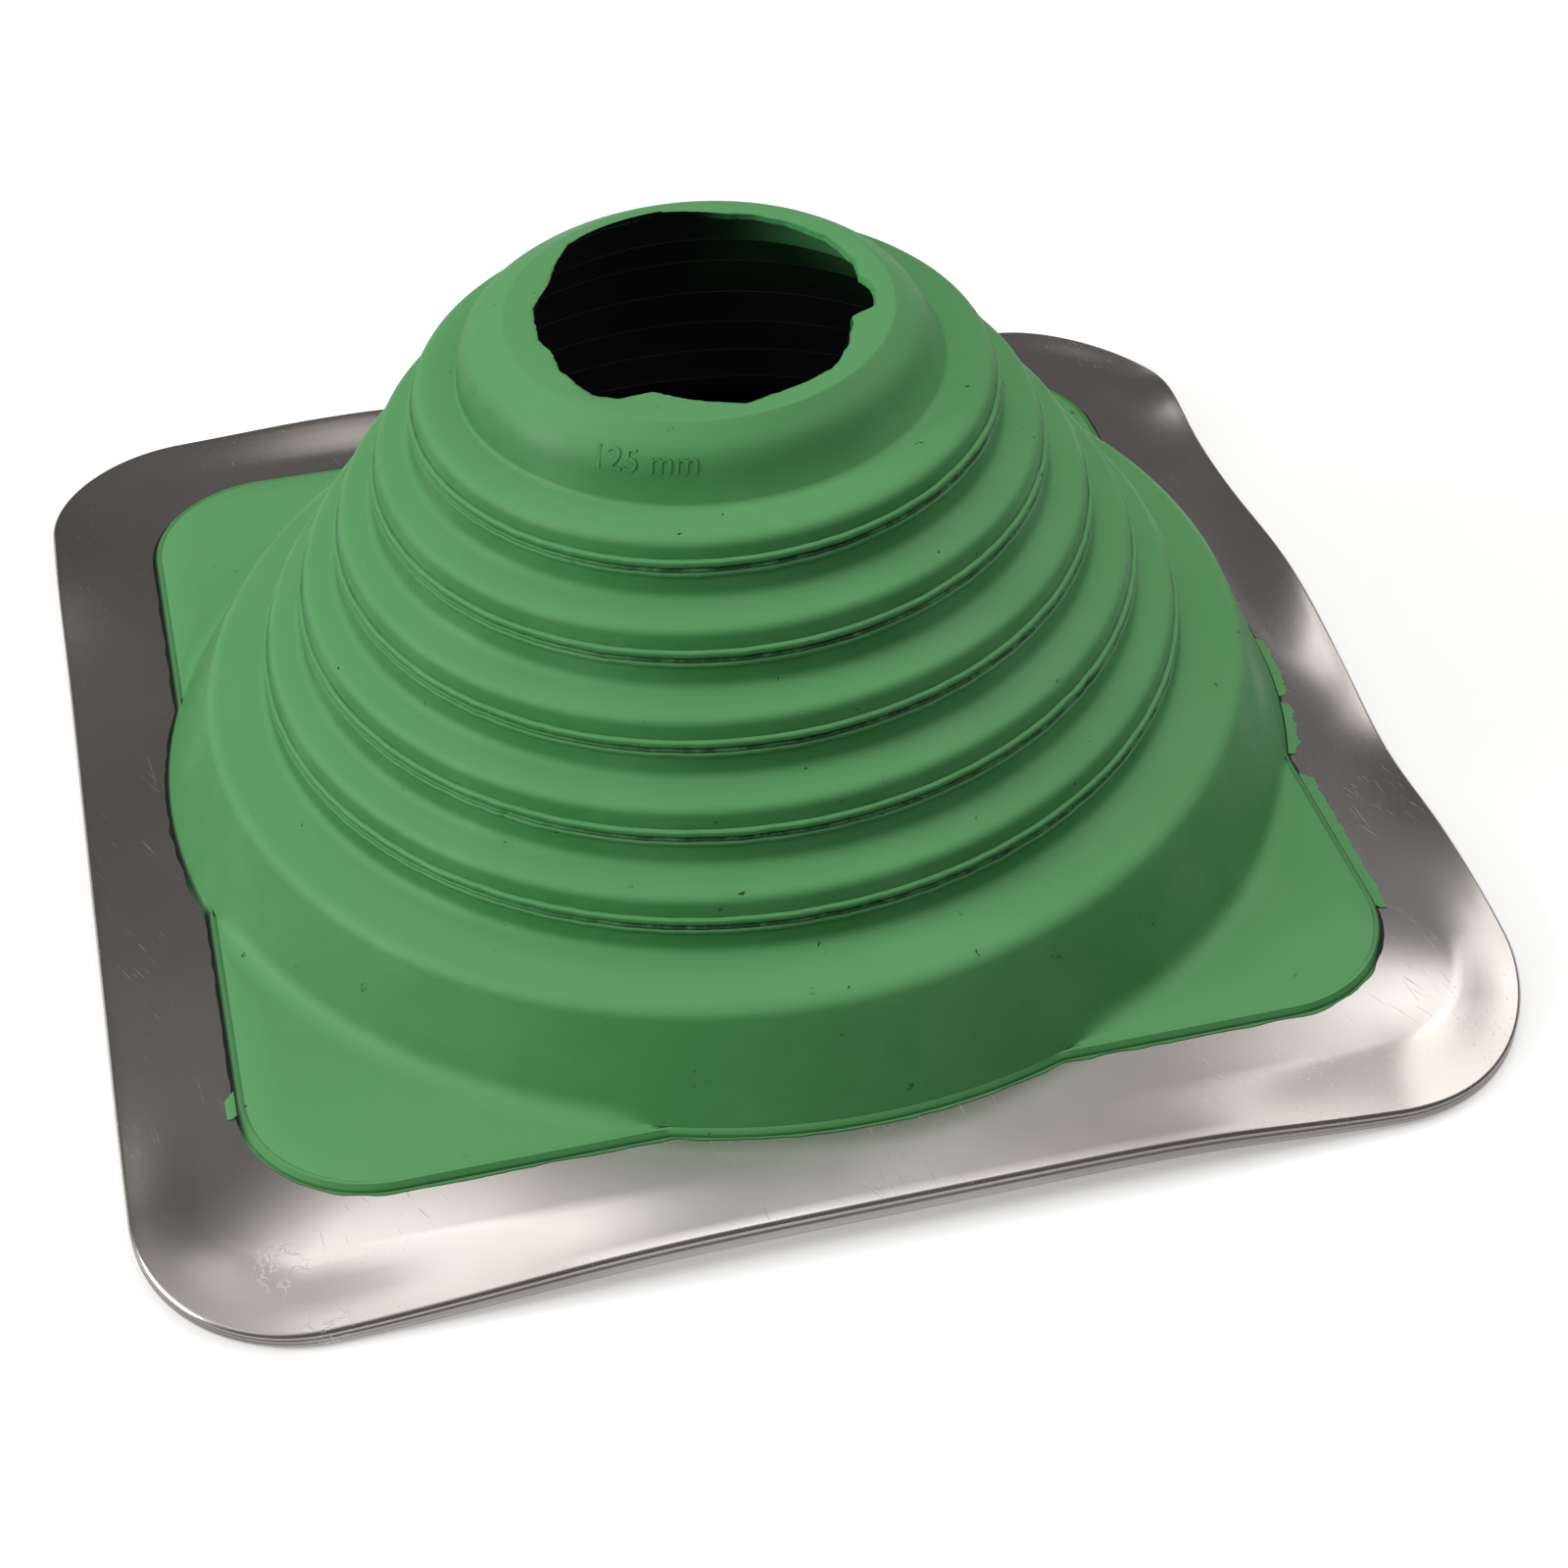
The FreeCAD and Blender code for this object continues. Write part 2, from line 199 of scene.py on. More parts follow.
class MarkSizes(PropertyGroup):
    """The plain pipe size raised on the neck."""
    text: StringProperty(name="Text", description="Pipe size in plain figures", default="125 mm")
    size: FloatProperty(name="Size", description="Font size, in mm", default=8.4)
    bearing: FloatProperty(name="Bearing", description="Middle of the text round the boot", subtype="ANGLE",
                           default=math.radians(-116.5))
    drop: FloatProperty(name="Drop",
                        description="From the lip's edge down the neck to the text's middle, in mm",
                        default=11.5)
    raised: FloatProperty(name="Raised", description="Height of the letters over the rubber, in mm",
                          default=0.3)
    sunk: FloatProperty(name="Sunk", description="Depth of the letters in the rubber, in mm", default=0.4)


class SheetSizes(PropertyGroup):
    """Sizes of the soft aluminium sheet."""
    corner_r: FloatProperty(name="Corner", description="Corner radius, in mm", default=43.0)
    worn_corner_r: FloatProperty(name="Worn corner",
                                 description="Radius of the bent front right corner, in mm",
                                 default=51.0)
    hole_r: FloatProperty(name="Hole", description="Radius of the hole hidden in the rubber, in mm",
                          default=150.3)
    margin: FloatProperty(name="Free margin", description="Width that bends, in mm", default=18.0)
    hem_depth: FloatProperty(name="Hem depth", description="Depth of the turned-down edge, in mm",
                             default=7.0)
    hem_bulge: FloatProperty(name="Hem bulge", description="Outward swell of the edge, in mm", default=1.2)
    hem_waist: FloatProperty(name="Hem waist", description="Outward place of the waist, in mm", default=0.3)
    hem_waist_share: FloatProperty(name="Hem waist place", description="Where the waist is, down the hem",
                                   subtype="FACTOR", default=0.5)
    hem_bead_share: FloatProperty(name="Hem bead place",
                                  description="Where the bead stands out, down the hem",
                                  subtype="FACTOR", default=0.78)
    hem_corner_share: FloatProperty(name="Hem at corners",
                                    description="Share of the depth left at the corners",
                                    subtype="FACTOR", default=0.62)
    hem_corner_reach: FloatProperty(name="Hem corner reach",
                                    description="Reach of the narrow hem, in shares of a corner",
                                    subtype="FACTOR", default=0.7)
    # Painted shade over the whole of the hem's face
    hem_face_shade: FloatProperty(name="Hem film", description="How grimy the hem's face is",
                            subtype="FACTOR", default=0.45)
    hem_groove: FloatVectorProperty(name="Hem groove",
                                    # Where the hem's painted shade is darkest
                                    description="Middle and half width of the dark groove, as shares of the depth",
                                    size=2, default=(0.42, 0.16))
    bend_ease: FloatProperty(name="Bend ease",
                             description="Share of the margin's bend that is eased at both ends",
                             subtype="FACTOR", default=0.35)
    corner_divisions: IntProperty(name="Corner divisions", description="Divisions round a corner", default=36)
    side_divisions: IntProperty(name="Side divisions", description="Divisions along half a side", default=64)


class FinishColours(PropertyGroup):
    """Colours of the finishes, as sRGB hex values."""
    rubber: StringProperty(name="Rubber", description="Green EPDM as moulded", default="#3b8244")
    rubber_pale: StringProperty(name="Rubber bloom", description="Chalky bloom on the rubber",
                                default="#57925e")
    rubber_dark: StringProperty(name="Rubber shade", description="Rubber in its hollows", default="#34713c")
    # Pale dust that also stands for painted light from above on what faces up
    dust: StringProperty(name="Dust", description="Fine dust on what faces up", default="#72b578")
    # Paler green standing for painted light on the inner wall near the lip on the right
    hollow: StringProperty(name="Hollow", description="Rubber inside near the lip", default="#58a363")
    # Painted shade deeper inside the hollow
    painted_hollow_shade: StringProperty(name="Deep hollow", description="Dark film deeper inside, left by the core",
                                default="#070c08")
    # Also the painted shade in the ribs' creases and along the flange's rim
    mark: StringProperty(name="Mark", description="Black scuffs and specks", default="#101d12")
    metal: StringProperty(name="Aluminium", description="Mill finish aluminium", default="#c6c1bd")
    # Painted shade on the hem's face and in its groove
    hem_shade: StringProperty(name="Grime", description="Grime in the hem's groove", default="#3f3b38")
    metal_bare: StringProperty(name="Bare aluminium", description="Freshly scraped aluminium",
                               default="#d9d7d5")
    metal_dull: StringProperty(name="Dull aluminium", description="Oxidised film on it", default="#b1aba6")
    floor: StringProperty(name="Floor", description="Pale studio floor", default="#ffffff")
    floor_bounce: StringProperty(name="Floor bounce", description="What the floor throws back",
                                 default="#9a9a9a")
    air: StringProperty(name="Air", description="Colour of the studio's light from above", default="#fffdfa")


class PipeBootSettings(PropertyGroup):
    """Everything that the pipe boot's operators read."""
    boot: PointerProperty(type=BootSizes)
    ribs: PointerProperty(type=RibSizes)
    mark: PointerProperty(type=MarkSizes)
    sheet: PointerProperty(type=SheetSizes)
    colours: PointerProperty(type=FinishColours)


def settings():
    """The scene's own settings for the pipe boot."""
    return bpy.context.scene.pipe_boot


# Materials

NOISE, RANGE, MIX = "ShaderNodeTexNoise", "ShaderNodeMapRange", "ShaderNodeMix"
MATH, VECTOR_MATH = "ShaderNodeMath", "ShaderNodeVectorMath"
EASED = {"interpolation_type": "SMOOTHSTEP"}
COLOURS = {"data_type": "RGBA"}


def add_node(tree, kind, inputs=None, **choices):
    """Adds a node, sets it, gives each input by name or number its value or link, and returns its outputs."""
    node = tree.nodes.new(kind)
    for name, value in choices.items():
        setattr(node, name, value)
    for name, value in (inputs or {}).items():
        if isinstance(value, bpy.types.NodeSocket):
            tree.links.new(value, node.inputs[name])
        else:
            node.inputs[name].default_value = value
    return node.outputs


def new_material(name):
    """An empty material and its tree."""
    material = bpy.data.materials.new(name)
    material.use_nodes = True
    material.node_tree.nodes.clear()
    return material, material.node_tree


def level_way(bearing):
    """Level direction at a bearing in degrees."""
    return math.cos(math.radians(bearing)), math.sin(math.radians(bearing)), 0.0


def epdm_rubber():
    """EPDM rubber moulded in a blasted steel mould: dull, finely grained, a little chalky on what faces up. Painted
    light on what faces up and near the lip inside, and painted shade inside the hollow, in the ribs' creases and along
    the flange's rim.
    """
    colours = settings().colours
    material, tree = new_material("moulded_green_epdm")
    place = add_node(tree, "ShaderNodeTexCoord")["Object"]
    normal = add_node(tree, "ShaderNodeNewGeometry")["Normal"]

    # Bloom comes in clouds of about 38 mm, with darker stains of about 11 mm, as on rubber that was stacked
    cloud = add_node(tree, NOISE, {"Vector": place, "Scale": 1 / (38.0 * MM), "Detail": 4.0, "Roughness": 0.6})[0]
    bloom = add_node(tree, RANGE, {"Value": cloud, "From Min": 0.4, "From Max": 0.75, "To Max": 0.5}, **EASED)[0]
    body = add_node(tree, MIX, {0: bloom, 6: linear(colours.rubber), 7: linear(colours.rubber_pale)}, **COLOURS)[2]
    stain = add_node(tree, NOISE, {"Vector": place, "Scale": 1 / (11.0 * MM), "Detail": 5.0, "Roughness": 0.7})[0]
    stain = add_node(tree, RANGE, {"Value": stain, "From Min": 0.55, "From Max": 0.8, "To Max": 0.35}, **EASED)[0]
    body = add_node(tree, MIX, {0: stain, 6: body, 7: linear(colours.rubber_dark)}, **COLOURS)[2]

    # Dust settles on what faces up, and its pale colour there also paints the light from above
    upward = add_node(tree, "ShaderNodeSeparateXYZ", {0: normal})["Z"]
    dust_and_top_light = add_node(tree, RANGE, {"Value": upward, "From Min": 0.3, "From Max": 0.85, "To Max": 0.6}, **EASED)[0]
    body = add_node(tree, MIX, {0: dust_and_top_light, 6: body, 7: linear(colours.dust)}, **COLOURS)[2]

    # Black specks of about a millimetre, the peaks of a 7 mm noise
    specks = add_node(tree, NOISE, {"Vector": place, "Scale": 1 / (7.0 * MM), "Detail": 6.0, "Roughness": 0.75})[0]
    specks = add_node(tree, RANGE, {"Value": specks, "From Min": 0.67, "From Max": 0.69}, **EASED)[0]
    body = add_node(tree, MIX, {0: specks, 6: body, 7: linear(colours.mark)}, **COLOURS)[2]

    # Painted shade in the creases between the ribs, broken every 6 mm or so and thickest at the front right
    level = add_node(tree, VECTOR_MATH, {0: place, 1: (1.0, 1.0, 0.0)}, operation="MULTIPLY")[0]
    radial = add_node(tree, VECTOR_MATH, {0: level}, operation="NORMALIZE")[0]
    frontal = add_node(tree, VECTOR_MATH, {0: radial, 1: level_way(-72.0)}, operation="DOT_PRODUCT")["Value"]
    frontal = add_node(tree, RANGE, {"Value": frontal, "From Min": 0.4, "From Max": 0.85}, **EASED)[0]
    broken = add_node(tree, NOISE, {"Vector": place, "Scale": 1 / (6.0 * MM), "Detail": 5.0, "Roughness": 0.7})[0]
    broken = add_node(tree, RANGE, {"Value": broken, "From Min": 0.4, "From Max": 0.56, "To Min": 0.2, "To Max": 0.8},
                      **EASED)[0]
    crease_shade = add_node(tree, "ShaderNodeAttribute", attribute_name="crease_shade")["Fac"]
    crease_and_rim_shade = add_node(tree, MATH, {0: broken, 1: frontal}, operation="MULTIPLY")[0]
    crease_and_rim_shade = add_node(tree, MATH, {0: crease_shade, 1: crease_and_rim_shade}, operation="MULTIPLY")[0]
    # The flange's rim carries painted shade in its groove, on its bevel and edge, and a dark foot line that is partly
    # squeezed-out rubber and partly painted contact shadow
    squeezed = add_node(tree, "ShaderNodeAttribute", attribute_name="squeezed")["Fac"]
    crease_and_rim_shade = add_node(tree, MATH, {0: squeezed, 1: crease_and_rim_shade}, operation="MAXIMUM")[0]
    body = add_node(tree, MIX, {0: crease_and_rim_shade, 6: body, 7: linear(colours.mark)}, **COLOURS)[2]

    # Inside, painted shade darkens the green deeper down and away from the right, and paler painted light stays near
    # the lip on the right
    height = add_node(tree, "ShaderNodeSeparateXYZ", {0: place})["Z"]
    depth = add_node(tree, RANGE, {"Value": height, "From Min": 0.15, "From Max": 0.1}, **EASED)[0]
    right = add_node(tree, VECTOR_MATH, {0: radial, 1: level_way(22.0)}, operation="DOT_PRODUCT")["Value"]
    right = add_node(tree, RANGE, {"Value": right, "From Min": 0.92, "From Max": 0.45}, **EASED)[0]
    deep = add_node(tree, MATH, {0: depth, 1: right}, operation="MAXIMUM")[0]
    film = add_node(tree, MIX, {0: deep, 6: linear(colours.hollow), 7: linear(colours.painted_hollow_shade)}, **COLOURS)[2]
    inside = add_node(tree, VECTOR_MATH, {0: radial, 1: normal}, operation="DOT_PRODUCT")["Value"]
    inside = add_node(tree, RANGE, {"Value": inside, "From Min": -0.1, "From Max": -0.5}, **EASED)[0]
    body = add_node(tree, MIX, {0: inside, 6: body, 7: film}, **COLOURS)[2]

    # The blasted mould leaves a grain of about a quarter of a millimetre, drawn here at 0.7 mm to show,
    # and handling leaves dents about 9 mm across
    grain = add_node(tree, NOISE, {"Vector": place, "Scale": 1 / (0.7 * MM), "Detail": 2.0, "Roughness": 0.5})[0]
    dents = add_node(tree, NOISE, {"Vector": place, "Scale": 1 / (9.0 * MM), "Detail": 3.0, "Roughness": 0.5})[0]
    bump = add_node(tree, "ShaderNodeBump", {"Height": grain, "Strength": 0.12, "Distance": 0.25 * MM})[0]
    bump = add_node(tree, "ShaderNodeBump", {"Height": dents, "Normal": bump, "Strength": 0.25,
                                             "Distance": 0.6 * MM})[0]
    rough = add_node(tree, RANGE, {"Value": cloud, "From Min": 0.3, "From Max": 0.7, "To Min": 0.62, "To Max": 0.5},
                     **EASED)[0]
    sheen = add_node(tree, RANGE, {"Value": inside, "To Min": 0.3, "To Max": 0.03}, **EASED)[0]
    surface = add_node(tree, "ShaderNodeBsdfPrincipled", {
        "Base Color": body, "Normal": bump, "Roughness": rough, "IOR": 1.5, "Specular IOR Level": sheen})[0]
    add_node(tree, "ShaderNodeOutputMaterial", {"Surface": surface})
    return material


def mill_aluminium():
    """Soft rolled aluminium, mill finish: a satin sheen that blurs what it mirrors, with fine scratches."""
    colours = settings().colours
    material, tree = new_material("mill_finish_aluminium")
    place = add_node(tree, "ShaderNodeTexCoord")["Object"]

    # The oxide film is duller in clouds of about 70 mm
    film = add_node(tree, NOISE, {"Vector": place, "Scale": 1 / (70.0 * MM), "Detail": 3.0, "Roughness": 0.5})[0]
    dull = add_node(tree, RANGE, {"Value": film, "From Min": 0.35, "From Max": 0.7}, **EASED)[0]
    body = add_node(tree, MIX, {0: dull, 6: linear(colours.metal), 7: linear(colours.metal_dull)}, **COLOURS)[2]

    # Scratches in two directions, up to 26 mm long and really 0.1 mm wide, drawn at 0.45 mm to show, in 45 mm patches
    sets = []
    for turn, along, across in ((96.0, 26.0, 0.45), (118.0, 16.0, 0.45)):
        turned = add_node(tree, "ShaderNodeMapping", {
            "Vector": place, "Rotation": (0.0, 0.0, math.radians(turn)), "Scale": (along / across, 1.0, 1.0)},
            vector_type="TEXTURE")[0]
        lines = add_node(tree, NOISE, {"Vector": turned, "Scale": 1 / (across * MM), "Detail": 2.0,
                                       "Roughness": 0.5})[0]
        sets.append(add_node(tree, RANGE, {"Value": lines, "From Min": 0.7, "From Max": 0.76}, **EASED)[0])
    scratches = add_node(tree, MATH, {0: sets[0], 1: sets[1]}, operation="MAXIMUM")[0]
    patches = add_node(tree, NOISE, {"Vector": place, "Scale": 1 / (45.0 * MM), "Detail": 3.0, "Roughness": 0.5})[0]
    patches = add_node(tree, RANGE, {"Value": patches, "From Min": 0.45, "From Max": 0.62}, **EASED)[0]
    scratches = add_node(tree, MATH, {0: scratches, 1: patches}, operation="MULTIPLY")[0]

    # Crumpled places show thin bright folds, the middle line of a 6 mm noise
    folds = add_node(tree, NOISE, {"Vector": place, "Scale": 1 / (6.0 * MM), "Detail": 3.0, "Roughness": 0.5})[0]
    folds = add_node(tree, MATH, {0: folds, 1: 0.5}, operation="SUBTRACT")[0]
    folds = add_node(tree, MATH, {0: folds}, operation="ABSOLUTE")[0]
    folds = add_node(tree, RANGE, {"Value": folds, "From Min": 0.022, "From Max": 0.008}, **EASED)[0]
    near = 0.0
    for spot, reach in CRUMPLES:
        away = add_node(tree, VECTOR_MATH, {0: place, 1: [part * MM for part in spot]}, operation="DISTANCE")["Value"]
        mask = add_node(tree, RANGE, {"Value": away, "From Min": reach * MM, "From Max": 0.4 * reach * MM,
                                      "To Max": 0.55}, **EASED)[0]
        near = add_node(tree, MATH, {0: near, 1: mask}, operation="MAXIMUM")[0]
    crumples = add_node(tree, MATH, {0: folds, 1: near}, operation="MULTIPLY")[0]
    marks = add_node(tree, MATH, {0: scratches, 1: crumples}, operation="MAXIMUM")[0]

    # Painted shade on the hem's face and in its groove
    hem_shade = add_node(tree, "ShaderNodeAttribute", attribute_name="hem_shade")["Fac"]
    body = add_node(tree, MIX, {0: hem_shade, 6: body, 7: linear(colours.hem_shade)}, **COLOURS)[2]
    bare = add_node(tree, MATH, {0: marks, 1: 0.6}, operation="MULTIPLY")[0]
    body = add_node(tree, MIX, {0: bare, 6: body, 7: linear(colours.metal_bare)}, **COLOURS)[2]
    cut = add_node(tree, "ShaderNodeBump", {"Height": marks, "Strength": 0.3, "Distance": 0.12 * MM}, invert=True)[0]
    gloss = add_node(tree, RANGE, {"Value": film, "From Min": 0.3, "From Max": 0.75, "To Min": 0.23, "To Max": 0.27},
                     **EASED)[0]
    rough = add_node(tree, MATH, {0: marks, 1: 0.2, 2: gloss}, operation="MULTIPLY_ADD")[0]
    surface = add_node(tree, "ShaderNodeBsdfPrincipled", {
        "Base Color": body, "Normal": cut, "Roughness": rough, "Metallic": 1.0})[0]
    add_node(tree, "ShaderNodeOutputMaterial", {"Surface": surface})
    return material


def floor_paint():
    """Matt white studio floor, which throws less light back up at the boot than it shows."""
    colours = settings().colours
    material, tree = new_material("matt_white_floor")
    path = add_node(tree, "ShaderNodeLightPath")
    seen = add_node(tree, MATH, {0: path["Is Camera Ray"], 1: path["Is Glossy Ray"]}, operation="MAXIMUM")[0]
    seen = add_node(tree, MATH, {0: seen, 1: path["Is Transmission Ray"]}, operation="MAXIMUM")[0]
    paint = add_node(tree, MIX, {0: seen, 6: linear(colours.floor_bounce), 7: linear(colours.floor)}, **COLOURS)[2]
    lift = add_node(tree, MATH, {0: seen, 1: FLOOR_LIFT}, operation="MULTIPLY")[0]
    surface = add_node(tree, "ShaderNodeBsdfPrincipled", {
        "Base Color": paint, "Roughness": 0.9, "Specular IOR Level": 0.0, "Emission Strength": lift})[0]
    add_node(tree, "ShaderNodeOutputMaterial", {"Surface": surface})
    return material


# Shapes

def lean_matrix():
    """Leans the boot about its foot and sets it over its place on the sheet, in mm."""
    boot = settings().boot
    turn = Matrix.Rotation(boot.lean_front, 4, "X") @ Matrix.Rotation(-boot.lean_left, 4, "Y")
    return Matrix.Translation((boot.place[0], boot.place[1], SHEET_TOP)) @ turn


def rounded(points, radii, parts):
    """Outline of (radius, height) points with rounded corners, as short chords."""
    path = [Vector(points[0])]
    for before, corner, after, radius in zip(points, points[1:], points[2:], radii[1:]):
        before, corner, after = Vector(before), Vector(corner), Vector(after)
        if radius == 0:
            path.append(corner)
            continue
        u, v = before - corner, after - corner
        half_angle = u.angle(v) / 2
        reach = min(radius / math.tan(half_angle), 0.45 * u.length, 0.45 * v.length)
        radius = reach * math.tan(half_angle)
        way = (u.normalized() + v.normalized()).normalized()
        centre = corner + way * (radius / math.sin(half_angle))
        first, last = corner + u.normalized() * reach - centre, corner + v.normalized() * reach - centre
        sweep = first.angle(last)
        for n in range(parts + 1):
            share = n / parts
            arm = first * math.sin((1 - share) * sweep) + last * math.sin(share * sweep)
            path.append(centre + arm / math.sin(sweep))
    return path + [Vector(points[-1])]


def step_corner(k):
    """Shoulder corner of step k and the foot of the riser under it."""
    boot = settings().boot
    r = boot.step_top[0] + k * boot.step_pitch[0]
    z = boot.step_top[1] - k * boot.step_pitch[1]
    return (r, z), (r + boot.riser[0], z - boot.riser[1])


def skirt_at(drop):
    """Point of the skirt's outer line at a share of the way down to its foot."""
    boot = settings().boot
    return Vector(boot.skirt_top) * (1 - drop) + Vector((boot.skirt_foot_r, 0)) * drop


def neck_bulge():
    """Middle of the neck's wall, which bellies out a little."""
    boot = settings().boot
    lip, foot = Vector(boot.lip), Vector(boot.neck_foot)
    down = (foot - lip).normalized()
    return (lip + foot) / 2 + Vector((-down.y, down.x)) * boot.neck_bulge


def swell(height, bearing):
    """How far the slumped neck stands out beyond its round form at a height and a bearing."""
    boot = settings().boot
    share = (height - boot.neck_foot[1]) / (boot.lip[1] - boot.neck_foot[1])
    if not 0 < share < 1:
        return 0.0
    return boot.neck_swell * math.sin(math.pi * share) * math.cos(bearing - boot.swell_bearing)


def on_cone(r, z, bearing):
    """Point of the boot before it leans, at a radius, a height and a bearing."""
    r += swell(z, bearing)
    return Vector((r * math.cos(bearing), r * math.sin(bearing), z))


def outer_outline():
    """Rounded outline of the leaning cone from the lip's edge to the end of the skirt's shoulder."""
    boot = settings().boot
    slope = boot.lip_rise / boot.lip[0]
    start = (boot.lip[0] - 3.0, boot.lip[1] + 3.0 * slope)
    points = [start, tuple(boot.lip), tuple(neck_bulge()), tuple(boot.neck_foot)]
    radii = [0, 1.6, 30.0, boot.neck_foot_r]
    for k in range(boot.steps):
        shoulder, foot = step_corner(k)
        points += [shoulder, foot]
        radii += [boot.shoulder_r, boot.foot_r]
    points += [tuple(skirt_at(0)), tuple(skirt_at(1))]
    radii += [boot.skirt_shoulder_r, 0]
    return rounded(points, radii, 5)[:-1]


def inner_outline():
    """The hollow's outline, a wall's thickness in, from the skirt's shoulder up to the lip."""
    boot = settings().boot
    outer = [Vector((0, boot.lip[1] + boot.lip_rise)), Vector(boot.lip), neck_bulge(), Vector(boot.neck_foot)]
    for k in range(boot.steps):
        outer += [Vector(corner) for corner in step_corner(k)]
    outer += [skirt_at(0), skirt_at(1)]
    inner = []
    for before, corner, after in zip(outer, outer[1:], outer[2:]):
        a, b = (corner - before).normalized(), (after - corner).normalized()
        normal = Vector((a.y, -a.x))
        way = (normal + Vector((b.y, -b.x))).normalized()
        inner.append(corner + way * (boot.wall / way.dot(normal)))
    inner[0].y = boot.lip[1] - boot.lip_wall
    path = rounded([tuple(p) for p in inner], [0] + [1.6] * (len(inner) - 2) + [0], 3)
    return path[::-1]


def down_the_neck(distance):
    """Point of the neck's outer line at a distance from the lip's edge, and the way out of the rubber there."""
    path = [p for p in outer_outline() if p.x >= settings().boot.lip[0]]
    for here, following in zip(path, path[1:]):
        step = following - here
        if distance <= step.length:
            way = step.normalized()
            return here + way * distance, Vector((-way.y, way.x))
        distance -= step.length
    raise ValueError("the text stands below the neck")


def cut_radius(bearing):
    """Distance of the knife's cut from the boot's axis at a bearing in degrees."""
    turns = CUT_TURNS + [(CUT_TURNS[0][0] + 360, CUT_TURNS[0][1])]
    while bearing < turns[0][0]:
        bearing += 360
    while bearing >= turns[-1][0]:
        bearing -= 360
    for (a, ra), (b, rb) in zip(turns, turns[1:]):
        if a <= bearing <= b:
            share = (bearing - a) / (b - a)
            straight = ra * rb * math.sin(math.radians(b - a)) / (
                ra * math.sin(math.radians(bearing - a)) + rb * math.sin(math.radians(b - bearing)))
            return 0.75 * straight + 0.25 * (ra + (rb - ra) * smooth(share))
    return turns[0][1]


def square_reach(bearing, half, corner_r, shift):
    """Distance along a bearing in radians to a rounded square whose middle is shifted along X."""
    run = half - corner_r
    near, far = 0.0, 2 * half
    for _ in range(26):
        reach = (near + far) / 2
        x = max(0.0, abs(reach * math.cos(bearing) - shift) - run)
        y = max(0.0, abs(reach * math.sin(bearing)) - run)
        inside = math.hypot(x, y) < corner_r
        near, far = (reach, far) if inside else (near, reach)
    return near


def flange_reach(bearing, inset):
    """Distance from the boot's middle to the rim of the flange, pulled in by inset."""
    boot = settings().boot
    square = square_reach(bearing, boot.flange_side / 2 - inset, boot.flange_corner_r - inset, boot.flange_shift)
    return max(square, boot.skirt_foot_r - inset)


